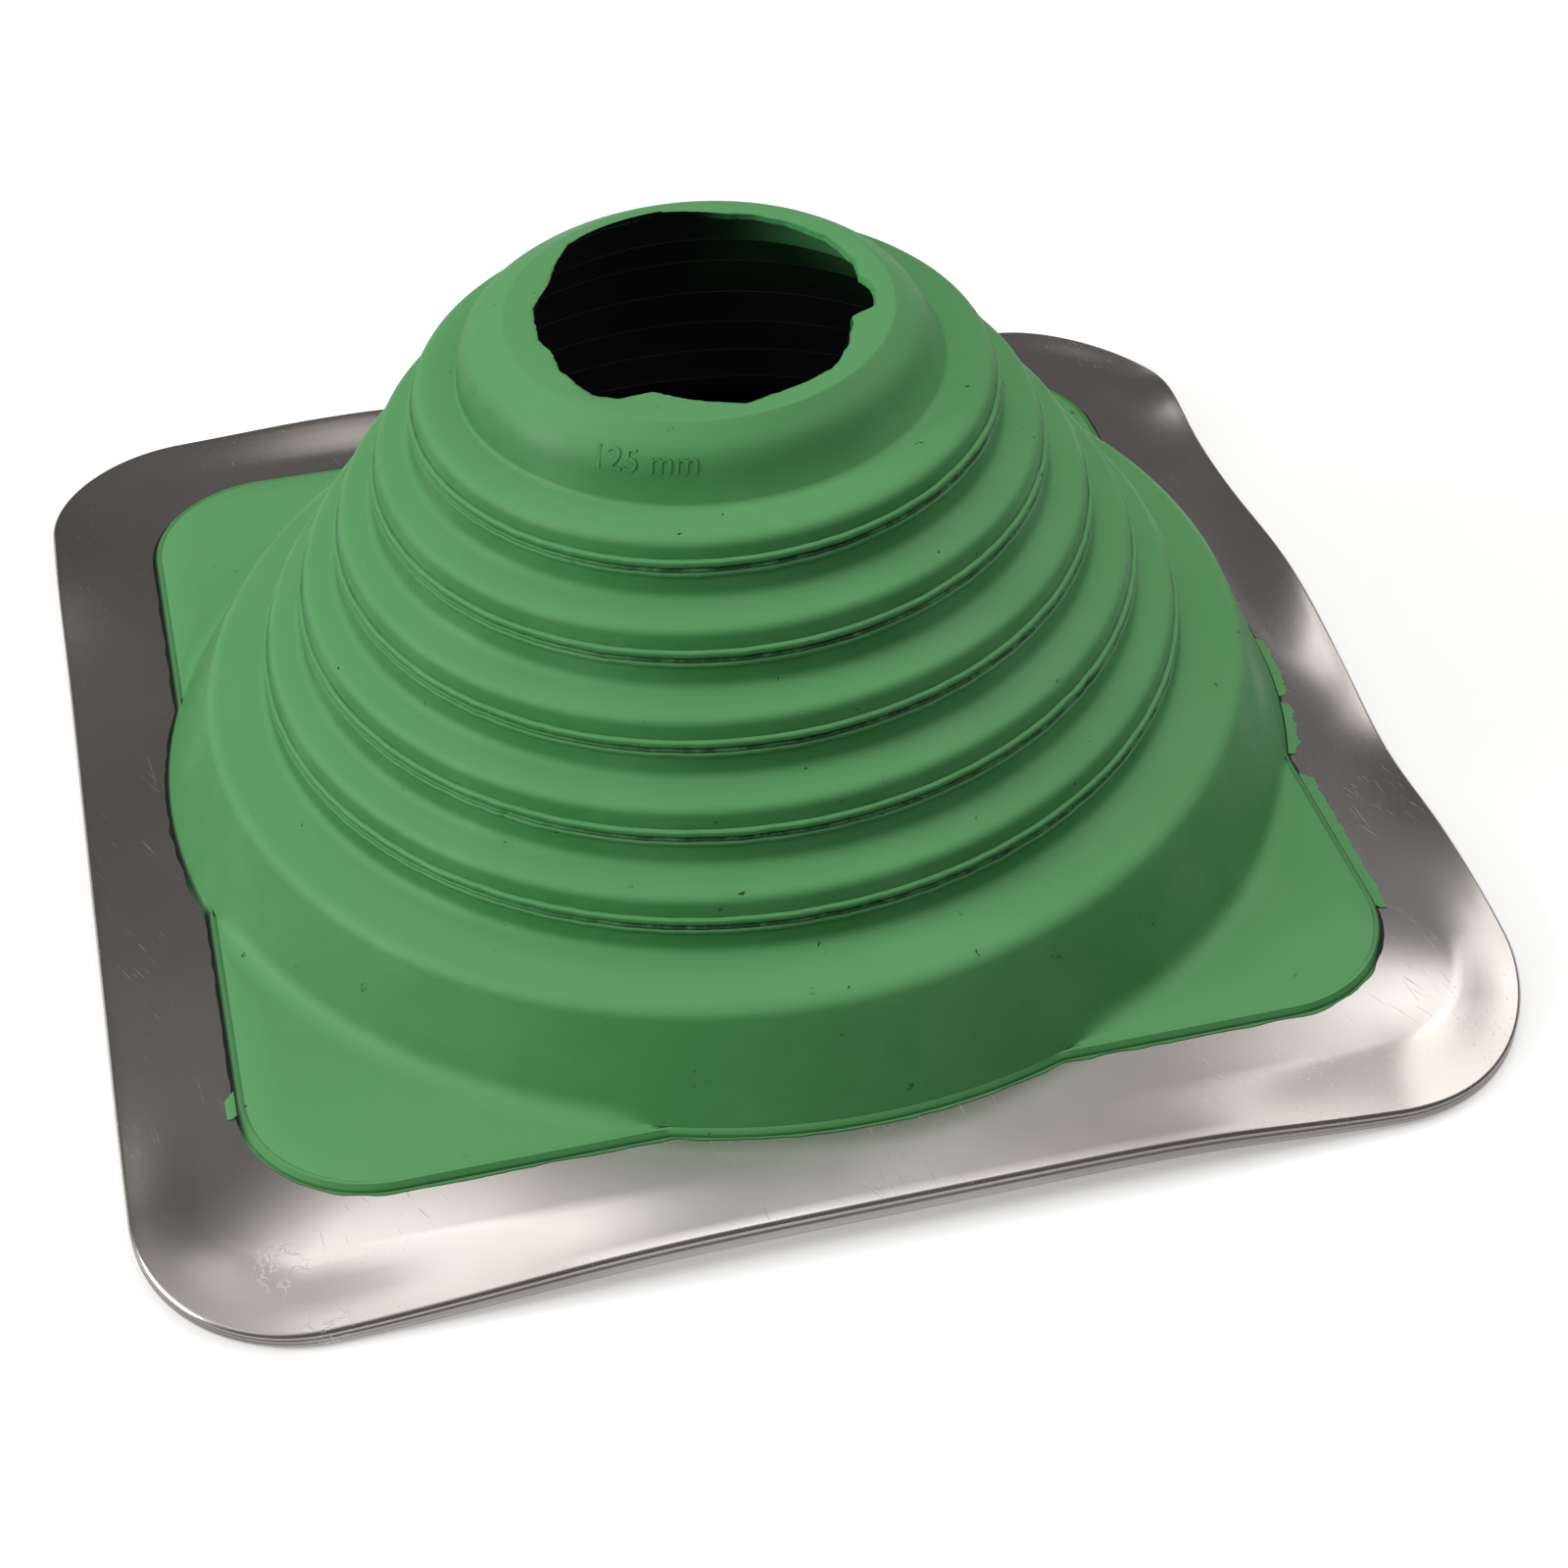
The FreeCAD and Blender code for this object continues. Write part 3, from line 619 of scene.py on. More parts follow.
def boot_rings():
    """The moulding's rings as functions of the bearing, from the lip's cut round to its underside.

    The number of the first of the two rings that are squeezed out under the flange's rim comes with them.
    """
    boot = settings().boot
    lean = lean_matrix()
    slope = boot.lip_rise / boot.lip[0]
    outer, inner = outer_outline(), inner_outline()
    rings = []

    def leaning(r, z, bearing):
        return lean @ on_cone(r, z, bearing)

    def level(r, z, bearing):
        return Vector((boot.place[0] + r * math.cos(bearing), boot.place[1] + r * math.sin(bearing), SHEET_TOP + z))

    def cut_edge(bearing, depth):
        r = cut_radius(math.degrees(bearing))
        spot = Vector((math.cos(bearing), math.sin(bearing), 0.02 * depth)) * 9
        return r + boot.cut_rag[0] * noise.noise(spot) + boot.cut_rag[1] * noise.noise(spot * 3.1)

    def lip_ring(share, depth):
        def ring(bearing):
            r = cut_edge(bearing, depth)
            r += (outer[0].x - r) * share
            spot = Vector((math.cos(bearing), math.sin(bearing), 5.0)) * 2.2
            sag = boot.lip_sag * abs(noise.noise(spot)) * (1 - share)
            return leaning(r, boot.lip[1] + boot.lip_rise - slope * r - depth - sag, bearing)
        return ring

    rings += [lip_ring(0.0, boot.lip_wall / 2), lip_ring(0.02, 0.12)]
    rings += [lip_ring(share, 0.0) for share in (0.08, 0.35, 0.7)]
    rings += [lambda b, p=p: leaning(p.x, p.y, b) for p in outer]

    def skirt_ring(top, foot_r, foot_z, share):
        return lambda b: leaning(top.x, top.y, b).lerp(level(foot_r, foot_z, b), share)

    top = outer[-1]
    bevel, drop = boot.flange_bevel
    edge_z = boot.flange_t - drop

    # Start of the skirt's wall, its corner on the flange, and how far the rounding there reaches
    def toe(bearing):
        start, foot = leaning(top.x, top.y, bearing), level(boot.skirt_foot_r, 0.0, bearing)
        corner = start.lerp(foot, 1 - boot.flange_t / (start.z - SHEET_TOP))
        r = math.hypot(corner.x - boot.place[0], corner.y - boot.place[1])
        return start, corner, r + min(boot.toe_r, max(0.0, flange_reach(bearing, bevel + 0.9) - r))

    def wall_ring(share):
        def ring(bearing):
            start, corner, _ = toe(bearing)
            return start.lerp(corner, share * (1 - boot.toe_r / (start - corner).length))
        return ring

    def toe_ring(turn):
        def ring(bearing):
            out = level(toe(bearing)[2], boot.flange_t, bearing)
            wall, corner = wall_ring(1.0)(bearing), toe(bearing)[1]
            return wall * (1 - turn) ** 2 + corner * (2 * turn * (1 - turn)) + out * turn ** 2
        return ring

    def flange_ring(inset, z):
        return lambda bearing: level(max(flange_reach(bearing, inset), toe(bearing)[2]), z, bearing)

    rings += [wall_ring(share) for share in (0.25, 0.5, 0.75, 0.95, 1.0)]
    rings += [toe_ring(turn) for turn in (0.2, 0.4, 0.6, 0.8, 1.0)]
    rings.append(flange_ring(boot.flange_corner_r / 3, boot.flange_t))
    rings += [flange_ring(bevel + inset, boot.flange_t + z) for inset, z in FLANGE_GROOVE]
    rings += [flange_ring(inset, z) for inset, z in ((0.4, edge_z + 0.15), (0.1, edge_z - 0.3), (0.1, 0.3))]
    squeezed = len(rings)

    def squeezed_ring(z):
        def ring(bearing):
            spot = Vector((math.cos(bearing), math.sin(bearing), 0.0)) * 30
            return flange_ring(-boot.squeeze[0] - boot.squeeze[1] * noise.noise(spot), z)(bearing)
        return ring

    rings += [squeezed_ring(0.22), squeezed_ring(0.0)]
    under = -SHEET_T - RUBBER_UNDER
    rings += [lambda b: level(boot.key_r, 0.0, b), lambda b: level(boot.key_r, -SHEET_T, b),
              flange_ring(0.0, -SHEET_T), flange_ring(0.0, under),
              lambda b: level(boot.rim_r, under, b), lambda b: level(boot.rim_r, boot.rim_top, b)]
    slant = skirt_at(0) - skirt_at(1)
    inner_foot = (boot.skirt_foot_r + slant.x * boot.rim_top / slant.y
                  - boot.wall / math.sin(math.atan2(slant.y, -slant.x)))
    inner_top = inner[0]
    rings += [skirt_ring(inner_top, inner_foot, boot.rim_top, share) for share in (1.0, 0.6, 0.25)]
    rings += [lambda b, p=p: leaning(p.x, p.y, b) for p in inner]
    rings += [lip_ring(0.5, boot.lip_wall), lip_ring(0.0, boot.lip_wall)]
    return rings, squeezed


def swept_mesh(name, rings, bearings):
    """Closed mesh of quads through rings that are functions of a bearing, the last joined to the first."""
    mesh = bmesh.new()
    rows = [[mesh.verts.new(ring(b) * MM) for b in bearings] for ring in rings]
    count = len(bearings)
    for row, following in zip(rows, rows[1:] + rows[:1]):
        for i in range(count):
            j = (i + 1) % count
            mesh.faces.new((row[i], following[i], following[j], row[j]))
    return finish_mesh(name, mesh)


def finish_mesh(name, mesh):
    """Turns a bmesh into a shaded object with its faces outwards."""
    bmesh.ops.recalc_face_normals(mesh, faces=mesh.faces)
    data = bpy.data.meshes.new(name)
    mesh.to_mesh(data)
    mesh.free()
    piece = bpy.data.objects.new(name, data)
    bpy.context.collection.objects.link(piece)
    for face in data.polygons:
        face.use_smooth = True
    data.set_sharp_from_angle(angle=math.radians(SHARP_ANGLE))
    return piece


def outline_place(quarter, share, inset):
    """Point and outward direction on one quarter of the sheet's outline, anticlockwise from +X."""
    sheet = settings().sheet
    half = HALF - inset
    corner_r = (sheet.worn_corner_r if quarter == 3 else sheet.corner_r) - inset
    run = half - corner_r
    if share <= 1:
        point, out = Vector((half, run * share, 0)), Vector((1, 0, 0))
    elif share < 2:
        angle = math.pi / 2 * (share - 1)
        out = Vector((math.cos(angle), math.sin(angle), 0))
        point = Vector((run, run, 0)) + out * corner_r
    else:
        point, out = Vector((run * (3 - share), half, 0)), Vector((0, 1, 0))
    turn = Matrix.Rotation(math.radians(90 * quarter), 3, "Z")
    return turn @ point, turn @ out


def edge_height(place):
    """How far the sheet's edge stands above or below flat at a place on its outline."""
    return sum(rise * math.exp(-((Vector((x, y, 0)) - place).length / width) ** 2)
               for x, y, width, rise in SHEET_WAVES)


def hem_outline(deep):
    """Section of the turned-down edge, as (outward, height) points round its bead and back up inside."""
    sheet = settings().sheet
    bulge, waist = sheet.hem_bulge, sheet.hem_waist
    waist_z, bead_z = -sheet.hem_waist_share * deep, -sheet.hem_bead_share * deep
    points = [(-HEM_START, 0.0), (0.1, 0.0), (bulge, -SHEET_T), (waist, waist_z), (bulge, bead_z),
              (0.1, -deep), (bulge - SHEET_T, bead_z), (waist - SHEET_T, waist_z),
              (-0.3 * SHEET_T, -SHEET_T), (-HEM_START, -SHEET_T)]
    return rounded(points, HEM_ROUNDS, 3)


def hem_shade_at(point, deep):
    """How much painted shade a point of the hem's section gets: some on its face, most in the groove at its waist."""
    sheet = settings().sheet
    if point.x < 0 or point.y > -0.8 * SHEET_T:
        return 0.0
    middle, half_width = sheet.hem_groove
    return sheet.hem_face_shade + (1 - sheet.hem_face_shade) * smooth(1 - abs(point.y / deep + middle) / half_width)


def sheet_rows(quarter, share):
    """Closed section of the sheet at one station, in mm, with its painted shade."""
    sheet = settings().sheet
    edge, out = outline_place(quarter, share, sheet.hem_bulge)
    inner = Vector((edge.x, edge.y, 0)).normalized() * sheet.hole_r
    rise = edge_height(edge)
    corner = math.exp(-((share - 1.5) / sheet.hem_corner_reach) ** 2)
    deep = sheet.hem_depth * (1 - (1 - sheet.hem_corner_share) * corner)
    hem = hem_outline(deep)

    def at(u, z):
        share = max(0.0, min(1.0, (u + sheet.margin) / sheet.margin))
        eased = smooth(share * EASE_REACH) if u < 0 else 1.0
        bend = sheet.bend_ease * eased + (1 - sheet.bend_ease) * share
        return edge + out * u + Vector((0, 0, SHEET_TOP + z + rise * bend))

    over = [inner + Vector((0, 0, SHEET_TOP))] + [at(-sheet.margin * s, 0.0) for s in MARGIN_DIVISIONS]
    turned = [at(p.x, p.y) for p in hem]
    under = [at(-sheet.margin * s, -SHEET_T) for s in reversed(MARGIN_DIVISIONS)]
    under.append(inner + Vector((0, 0, SHEET_TOP - SHEET_T)))
    hem_shade = [0.0] * len(over) + [hem_shade_at(p, deep) for p in hem] + [0.0] * len(under)
    return list(zip(over + turned + under, hem_shade))


def sheet_stations():
    """Quarter and share of every station round the outline."""
    sheet = settings().sheet
    side, corner = sheet.side_divisions, sheet.corner_divisions
    shares = [n / side for n in range(side)]
    shares += [1 + n / corner for n in range(corner)]
    shares += [2 + n / side for n in range(side)]
    return [(quarter, share) for quarter in range(4) for share in shares]


# Trim ribs, by Geometry Nodes

RIB_LINES = ("Upper Rib", "Crease Shade Line", "Lower Rib")


def rib_tree():
    """Geometry Nodes tree that lays pairs of ragged beads round a leaning stepped cone."""
    tree = bpy.data.node_groups.new("trim_ribs", "GeometryNodeTree")
    face = tree.interface
    face.new_socket("Geometry", in_out="OUTPUT", socket_type="NodeSocketGeometry")
    sockets = [(line + part, "Float") for line in RIB_LINES for part in (" Radius", " Height", " Bead")]
    sockets += [("Steps", "Int"), ("Radius Pitch", "Float"), ("Height Pitch", "Float"), ("Raggedness", "Float"),
                ("Lean Left", "Float"), ("Lean Front", "Float"), ("Place", "Vector"), ("Rubber", "Material")]
    for name, kind in sockets:
        face.new_socket(name, in_out="INPUT", socket_type="NodeSocket" + kind)
    given = add_node(tree, "NodeGroupInput")
    vector = "ShaderNodeCombineXYZ"

    circle = add_node(tree, "GeometryNodeCurvePrimitiveCircle", {"Resolution": 720, "Radius": 1.0})[0]
    index = add_node(tree, "GeometryNodeInputIndex")[0]
    join = tree.nodes.new("GeometryNodeJoinGeometry")
    down = add_node(tree, vector, {"Z": add_node(tree, MATH, {0: given["Height Pitch"], 1: -1.0},
                                                 operation="MULTIPLY")[0]})[0]
    for name in RIB_LINES:
        start = add_node(tree, vector, {"Z": given[name + " Height"]})[0]
        points = add_node(tree, "GeometryNodeMeshLine", {"Count": given["Steps"], "Start Location": start,
                                                         "Offset": down})[0]
        radius = add_node(tree, MATH, {0: index, 1: given["Radius Pitch"], 2: given[name + " Radius"]},
                          operation="MULTIPLY_ADD")[0]
        grown = add_node(tree, vector, {"X": radius, "Y": radius, "Z": radius})[0]
        rings = add_node(tree, "GeometryNodeInstanceOnPoints", {"Points": points, "Instance": circle,
                                                                "Scale": grown})[0]
        paths = add_node(tree, "GeometryNodeRealizeInstances", {0: rings})[0]
        bead = add_node(tree, "GeometryNodeCurvePrimitiveCircle", {"Resolution": 9,
                                                                   "Radius": given[name + " Bead"]})[0]
        beads = add_node(tree, "GeometryNodeCurveToMesh", {"Curve": paths, "Profile Curve": bead})[0]
        # The middle line is a thin bead laid in the crease between the ribs and marked for painted shade
        marked = add_node(tree, "GeometryNodeStoreNamedAttribute", {
            "Geometry": beads, "Name": "crease_shade", "Value": 1.0 if name == "Crease Shade Line" else 0.0})[0]
        tree.links.new(marked, join.inputs[0])

    # The beads wander every 6 mm, and a nick of up to 0.9 mm is torn out of them here and there
    place = add_node(tree, "GeometryNodeInputPosition")[0]
    parts = add_node(tree, "ShaderNodeSeparateXYZ", {0: place})
    level = add_node(tree, vector, {"X": parts["X"], "Y": parts["Y"]})[0]
    outward = add_node(tree, VECTOR_MATH, {0: level}, operation="NORMALIZE")[0]
    wander = add_node(tree, NOISE, {"Vector": place, "Scale": 1 / (6.0 * MM), "Detail": 3.0})[0]
    wander = add_node(tree, MATH, {0: wander, 1: 0.52}, operation="SUBTRACT")[0]
    wander = add_node(tree, MATH, {0: wander, 1: given["Raggedness"]}, operation="MULTIPLY")[0]
    nicks = add_node(tree, NOISE, {"Vector": place, "Scale": 1 / (14.0 * MM), "Detail": 5.0})[0]
    nicks = add_node(tree, RANGE, {"Value": nicks, "From Min": 0.66, "From Max": 0.7, "To Max": -0.9 * MM}, **EASED)[0]
    shift = add_node(tree, MATH, {0: wander, 1: nicks}, operation="ADD")[0]
    shift = add_node(tree, VECTOR_MATH, {0: outward, "Scale": shift}, operation="SCALE")[0]
    ragged = add_node(tree, "GeometryNodeSetPosition", {"Geometry": join.outputs[0], "Offset": shift})[0]

    # The boot leans to the left first and then to the front
    left = add_node(tree, vector, {"Y": given["Lean Left"]})[0]
    front = add_node(tree, vector, {"X": given["Lean Front"]})[0]
    leaning = add_node(tree, "GeometryNodeTransform", {"Geometry": ragged, "Rotation": left})[0]
    leaning = add_node(tree, "GeometryNodeTransform", {"Geometry": leaning, "Rotation": front,
                                                       "Translation": given["Place"]})[0]
    soft = add_node(tree, "GeometryNodeSetShadeSmooth", {0: leaning})[0]
    real = add_node(tree, "GeometryNodeRealizeInstances", {0: soft})[0]
    painted = add_node(tree, "GeometryNodeSetMaterial", {"Geometry": real, "Material": given["Rubber"]})[0]
    add_node(tree, "NodeGroupOutput", {0: painted})
    return tree


def set_inputs(modifier, values):
    """Sets a Geometry Nodes modifier's inputs by their sockets' identifiers."""
    for item in modifier.node_group.interface.items_tree:
        if item.item_type == "SOCKET" and item.in_out == "INPUT" and item.name in values:
            modifier[item.identifier] = values[item.name]


def plain_mesh(piece):
    """Turns what a piece's modifiers make into its own mesh."""
    graph = bpy.context.evaluated_depsgraph_get()
    made = bpy.data.meshes.new_from_object(piece.evaluated_get(graph))
    piece.modifiers.clear()
    piece.data = made
    return piece


def seat(piece, material, slot, *nodes):
    """Gives a finished piece its material and its place on the body. Its slot is not used."""
    piece.data.materials.clear()
    piece.data.materials.append(material)
    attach(piece, "root")
    if nodes:
        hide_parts(*nodes)


def shared_material(name, make):
    """The material of that name, made once."""
    return bpy.data.materials.get(name) or make()


class PIPEBOOT_OT_moulding(Operator):
    """Build the rubber moulding: lip, neck, steps, skirt and flange"""
    bl_idname = "pipe_boot.moulding"
    bl_label = "Build Rubber Moulding"

    def execute(self, context):
        turns = settings().boot.turns
        bearings = [2 * math.pi * i / turns for i in range(turns)]
        rings, squeezed = boot_rings()
        piece = swept_mesh("boot_moulding", rings, bearings)
        rim = [rings[squeezed + BEVEL_RING](bearing) for bearing in bearings]
        line = piece.data.attributes.new("squeezed", "FLOAT", "POINT")
        # Painted shade on the flange's rim: dark where the rim faces away from the front, and dark at its foot all
        # round, where the line is partly squeezed-out rubber and partly painted contact shadow
        for i in range(turns):
            along = (rim[(i + 1) % turns] - rim[i - 1]).normalized()
            to_front = Vector((along.y, -along.x, 0)).dot(FRONT)
            away, behind = smooth((0.6 - to_front) / 0.25), smooth((-0.2 - to_front) / 0.4)
            shade = 0.25 * away
            dark = {ring: shade for ring in GROOVE_RINGS}
            dark.update({CREST_RING: max(shade, 0.9 * behind), BEVEL_RING: away, EDGE_RING: away})
            dark.update({ring: 0.3 + 0.7 * away for ring in FOOT_RINGS})
            for ring, value in dark.items():
                line.data[(squeezed + ring) * turns + i].value = value
        seat(piece, shared_material("moulded_green_epdm", epdm_rubber), "green_rubber", "rubber_boot")
        return {"FINISHED"}


class PIPEBOOT_OT_ribs(Operator):
    """Lay the pairs of thin trim ribs round the risers"""
    bl_idname = "pipe_boot.ribs"
    bl_label = "Lay Trim Ribs"

    def execute(self, context):
        boot, ribs = settings().boot, settings().ribs
        shoulder, foot = Vector(step_corner(0)[0]), Vector(step_corner(0)[1])
        down = (foot - shoulder).normalized()
        piece = bpy.data.objects.new("trim_ribs", bpy.data.meshes.new("trim_ribs"))
        context.collection.objects.link(piece)
        modifier = piece.modifiers.new("trim_ribs", "NODES")
        modifier.node_group = rib_tree()
        rubber = shared_material("moulded_green_epdm", epdm_rubber)
        for name, drop, bead_r, proud in zip(RIB_LINES, ribs.drops, ribs.bead_r, ribs.proud):
            place = shoulder + down * drop + Vector((-down.y, down.x)) * proud
            set_inputs(modifier, {name + " Radius": place.x * MM, name + " Height": place.y * MM,
                                  name + " Bead": bead_r * MM})
        set_inputs(modifier, {
            "Steps": boot.steps, "Radius Pitch": boot.step_pitch[0] * MM, "Height Pitch": boot.step_pitch[1] * MM,
            "Raggedness": 2 * ribs.rag * MM,
            "Lean Left": -boot.lean_left, "Lean Front": boot.lean_front,
            "Place": (boot.place[0] * MM, boot.place[1] * MM, SHEET_TOP * MM), "Rubber": rubber})
        plain_mesh(piece)
        seat(piece, rubber, "green_rubber")
        return {"FINISHED"}


class PIPEBOOT_OT_flash(Operator):
    """Lay the torn moulding flash that lies on the sheet along the flange's edge"""
    bl_idname = "pipe_boot.flash"
    bl_label = "Lay Mould Flash"

    def execute(self, context):
        boot = settings().boot
        mesh = bmesh.new()
        for first, last, width, tear in FLASH:
            count = max(12, round(abs(last - first) * 8))
            rows = []
            for n in range(count + 1):
                bearing = math.radians(first + (last - first) * n / count)
                edge = flange_reach(bearing, 0.0)
                spot = Vector((math.cos(bearing), math.sin(bearing), first)) * 40
                ragged = width + tear * (noise.noise(spot) + 0.6 * noise.noise(spot * 3.3))
                ends = smooth(min(n, count - n) / 2.0)
                reach = max(0.3, ragged * (0.35 + 0.65 * ends))
                section = [(-0.6, 0.0), (-0.6, FLASH_T), (0.6 * reach, FLASH_T), (reach, 0.5 * FLASH_T), (reach, 0.0)]
                rows.append([mesh.verts.new(Vector((boot.place[0] + (edge + out) * math.cos(bearing),
                                                    boot.place[1] + (edge + out) * math.sin(bearing),
                                                    SHEET_TOP + z)) * MM) for out, z in section])
            for row, following in zip(rows, rows[1:]):
                for i in range(len(row)):
                    j = (i + 1) % len(row)
                    mesh.faces.new((row[i], following[i], following[j], row[j]))
            mesh.faces.new(rows[0])
            mesh.faces.new(rows[-1][::-1])
        piece = finish_mesh("mould_flash", mesh)
        seat(piece, shared_material("moulded_green_epdm", epdm_rubber), "green_rubber")
        return {"FINISHED"}


class PIPEBOOT_OT_size_mark(Operator):
    """Raise the pipe size on the neck in plain figures"""
    bl_idname = "pipe_boot.size_mark"
    bl_label = "Raise Size Mark"

    def execute(self, context):
        mark = settings().mark
        words = bpy.data.curves.new("size_mark", "FONT")
        words.body = mark.text
        words.size = mark.size
        words.extrude = (mark.raised + mark.sunk) / 2
        words.align_x = "CENTER"
        words.align_y = "CENTER"
        piece = bpy.data.objects.new("size_mark", words)
        context.collection.objects.link(piece)
        context.view_layer.update()
        letters = bpy.data.meshes.new_from_object(piece.evaluated_get(context.evaluated_depsgraph_get()))
        bpy.data.objects.remove(piece)
        lean = lean_matrix()
        for vertex in letters.vertices:
            across, up, out = vertex.co
            spot, way = down_the_neck(mark.drop - up)
            spot = spot + way * (out + (mark.raised - mark.sunk) / 2)
            bearing = mark.bearing + across / spot.x
            vertex.co = lean @ on_cone(spot.x, spot.y, bearing) * MM
        mesh = bmesh.new()
        mesh.from_mesh(letters)
        bmesh.ops.remove_doubles(mesh, verts=mesh.verts, dist=0.001 * MM)
        piece = finish_mesh("size_mark", mesh)
        seat(piece, shared_material("moulded_green_epdm", epdm_rubber), "green_rubber")
        return {"FINISHED"}


class PIPEBOOT_OT_sheet(Operator):
    """Build the soft aluminium sheet with its waving margin and turned-down edge"""
    bl_idname = "pipe_boot.sheet"
    bl_label = "Build Aluminium Sheet"

    def execute(self, context):
        mesh = bmesh.new()
        # Each vertex carries how much painted shade the hem gives it
        hem_shade = mesh.verts.layers.float.new("hem_shade")
        rows = []
        for station in sheet_stations():
            row = []
            for point, dull in sheet_rows(*station):
                vertex = mesh.verts.new(point * MM)
                vertex[hem_shade] = dull
                row.append(vertex)
            rows.append(row)
        for row, following in zip(rows, rows[1:] + rows[:1]):
            for i in range(len(row)):
                j = (i + 1) % len(row)
                mesh.faces.new((row[i], following[i], following[j], row[j]))
        piece = finish_mesh("sheet_with_hem", mesh)
        seat(piece, shared_material("mill_finish_aluminium", mill_aluminium), "soft_aluminium", "aluminium_sheet")
        return {"FINISHED"}


# Studio

# The floor's own glow where it is seen, so that only the boot's shadow is darker than white
FLOOR_LIFT = 0.32

# The camera of the photograph: angles in degrees, distances in mm
CAMERA_AZIMUTH = -13.94
CAMERA_ELEVATION = 41.43
CAMERA_ROLL = -0.52
CAMERA_DISTANCE = 823.1
CAMERA_SIDE = -16.7
CAMERA_RISE = 16.6
CAMERA_LENS = 65.8

# Softboxes: name, bearing right of straight behind, elevation, distance and size in metres, watts
SOFTBOXES = [("left_low", -94, 24, 2.0, (0.9, 0.6), 21.5), ("left", -94, 44, 2.2, (1.2, 1.2), 3.2),
             ("front_left", -130, 50, 2.0, (0.9, 0.9), 1.2), ("overhead", 0, 82, 2.0, (1.0, 1.0), 3.4),
             ("back", 6, 66, 2.0, (0.5, 0.5), 0.6), ("back_right", 35, 60, 2.0, (0.9, 0.6), 1.7),
             ("far_right", 66, 44, 2.0, (0.7, 0.8), 3.9), ("right", 95, 44, 2.0, (0.9, 0.9), 5.9)]

# The air brightens between these elevations in degrees, from the first strength to the second
AIR_TURN = (53, 63)
AIR_STRENGTH = (0.13, 0.7)


def camera_axes():
    """View direction, right and up of the photograph's camera."""
    az, el, roll = (math.radians(a) for a in (CAMERA_AZIMUTH, CAMERA_ELEVATION, CAMERA_ROLL))
    view = Vector((-math.sin(az) * math.cos(el), math.cos(az) * math.cos(el), -math.sin(el)))
    right = Vector((math.cos(az), math.sin(az), 0))
    up = right.cross(view)
    return view, right * math.cos(roll) + up * math.sin(roll), up * math.cos(roll) - right * math.sin(roll)


def place_camera():
    """The photograph's camera, found from the sheet's outline and the boot's rings."""
    view, right, up = camera_axes()
    place = -view * CAMERA_DISTANCE - right * CAMERA_SIDE - up * CAMERA_RISE + Vector((0, 0, SHEET_TOP))
    data = bpy.data.cameras.new("camera")
    data.sensor_width = 36.0
    data.lens = CAMERA_LENS
    data.clip_start = 0.01
    camera = bpy.data.objects.new("camera", data)
    bpy.context.collection.objects.link(camera)
    turn = Matrix((right, up, -view)).transposed().to_4x4()
    camera.matrix_world = Matrix.Translation(place * MM) @ turn
    bpy.context.scene.camera = camera


def heading(bearing, elevation, distance):
    """Place at a bearing right of straight behind the boot, an elevation and a distance in metres."""
    flat = distance * math.cos(math.radians(elevation))
    return (flat * math.sin(math.radians(bearing)), flat * math.cos(math.radians(bearing)),
            distance * math.sin(math.radians(elevation)))


def studio_air():
    """Air of the studio: dim near the floor, bright overhead, as under a white ceiling."""
    world = bpy.data.worlds.new("studio_air")
    world.use_nodes = True
    tree = world.node_tree
    background = tree.nodes["Background"]
    background.inputs["Color"].default_value = linear(settings().colours.air)
    way = add_node(tree, "ShaderNodeTexCoord")["Generated"]
    height = add_node(tree, "ShaderNodeSeparateXYZ", {0: way})["Z"]
    strength = add_node(tree, RANGE, {"Value": height, "From Min": math.sin(math.radians(AIR_TURN[0])),
                                      "From Max": math.sin(math.radians(AIR_TURN[1])),
                                      "To Min": AIR_STRENGTH[0], "To Max": AIR_STRENGTH[1]}, **EASED)[0]
    tree.links.new(strength, background.inputs["Strength"])
    return world


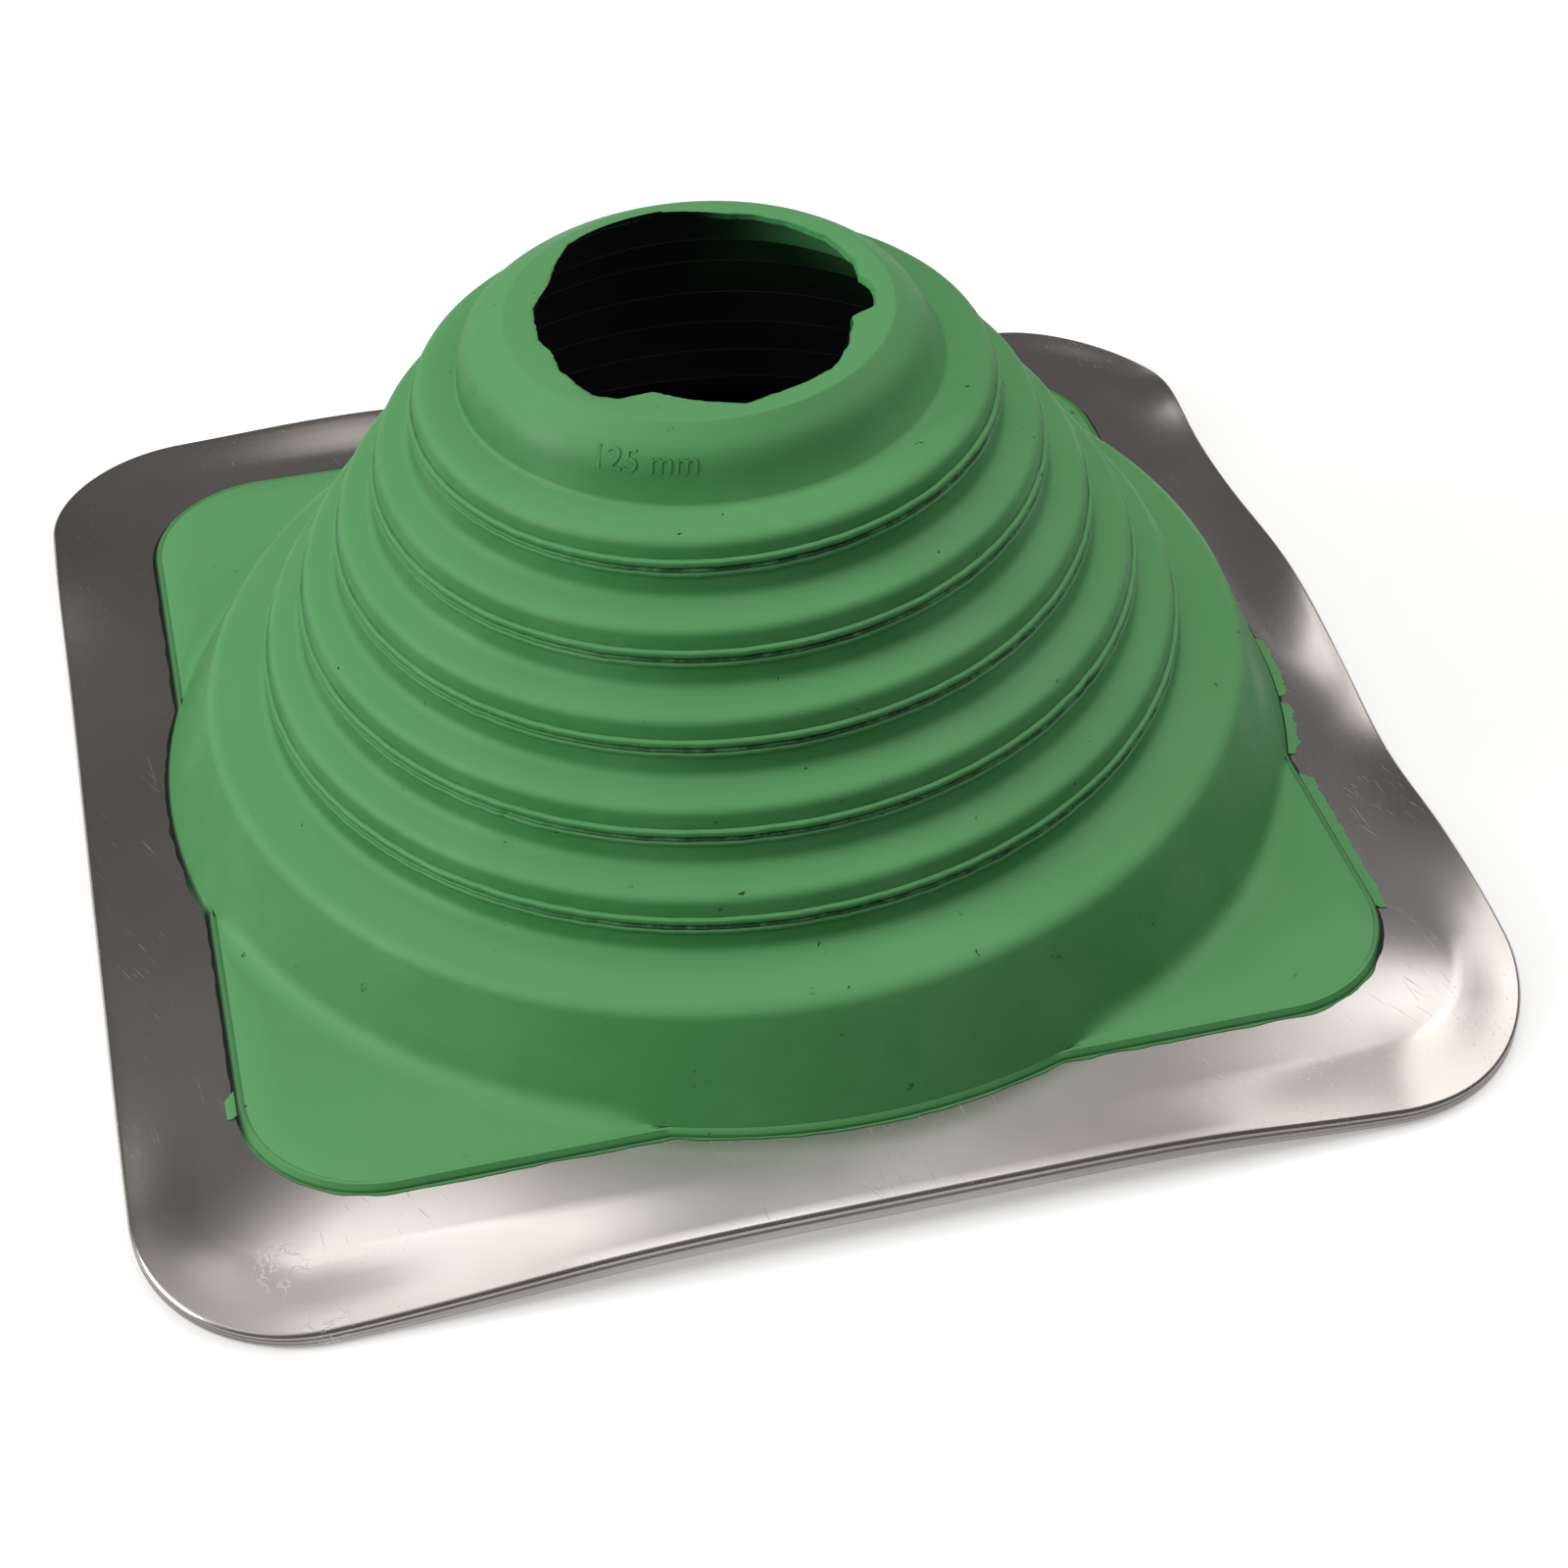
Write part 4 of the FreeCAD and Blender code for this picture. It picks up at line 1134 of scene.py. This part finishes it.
def softbox(name, place, size, watts):
    """A rectangular lamp that faces the boot, in metres."""
    data = bpy.data.lights.new(name, "AREA")
    data.shape = "RECTANGLE"
    data.size, data.size_y = size
    data.energy = watts
    lamp = bpy.data.objects.new(name, data)
    bpy.context.collection.objects.link(lamp)
    turn = (-Vector(place)).to_track_quat("-Z", "Y").to_matrix().to_4x4()
    lamp.matrix_world = Matrix.Translation(place) @ turn


class PIPEBOOT_OT_studio(Operator):
    """Set up the floor, the soft lamps, the world and the camera"""
    bl_idname = "pipe_boot.studio"
    bl_label = "Set Up Studio"

    def execute(self, context):
        mesh = bmesh.new()
        bmesh.ops.create_grid(mesh, x_segments=1, y_segments=1, size=4.0)
        data = bpy.data.meshes.new("floor")
        mesh.to_mesh(data)
        mesh.free()
        floor = bpy.data.objects.new("floor", data)
        context.collection.objects.link(floor)
        floor.data.materials.append(floor_paint())
        context.scene.world = studio_air()
        for name, bearing, elevation, distance, size, watts in SOFTBOXES:
            softbox(name, heading(bearing, elevation, distance), size, watts)
        place_camera()
        context.scene.view_settings.view_transform = "Standard"
        return {"FINISHED"}


class PIPEBOOT_PT_panel(Panel):
    """Lists the steps that build the pipe boot"""
    bl_idname = "PIPEBOOT_PT_panel"
    bl_label = "Pipe Boot"
    bl_space_type = "VIEW_3D"
    bl_region_type = "UI"
    bl_category = "Pipe Boot"

    def draw(self, context):
        for step in STEPS:
            self.layout.operator(step.bl_idname)


GROUPS = [BootSizes, RibSizes, MarkSizes, SheetSizes, FinishColours, PipeBootSettings]
STEPS = [PIPEBOOT_OT_moulding, PIPEBOOT_OT_ribs, PIPEBOOT_OT_flash, PIPEBOOT_OT_size_mark, PIPEBOOT_OT_sheet,
         PIPEBOOT_OT_studio]


def register():
    for part in GROUPS + STEPS + [PIPEBOOT_PT_panel]:
        bpy.utils.register_class(part)
    bpy.types.Scene.pipe_boot = PointerProperty(type=PipeBootSettings)


def unregister():
    del bpy.types.Scene.pipe_boot
    for part in reversed(GROUPS + STEPS + [PIPEBOOT_PT_panel]):
        bpy.utils.unregister_class(part)


def main():
    """Builds the pieces and the studio."""
    register()
    bpy.ops.pipe_boot.moulding()
    bpy.ops.pipe_boot.ribs()
    bpy.ops.pipe_boot.flash()
    bpy.ops.pipe_boot.size_mark()
    bpy.ops.pipe_boot.sheet()
    bpy.ops.pipe_boot.studio()


if __name__ == "__main__":
    main()
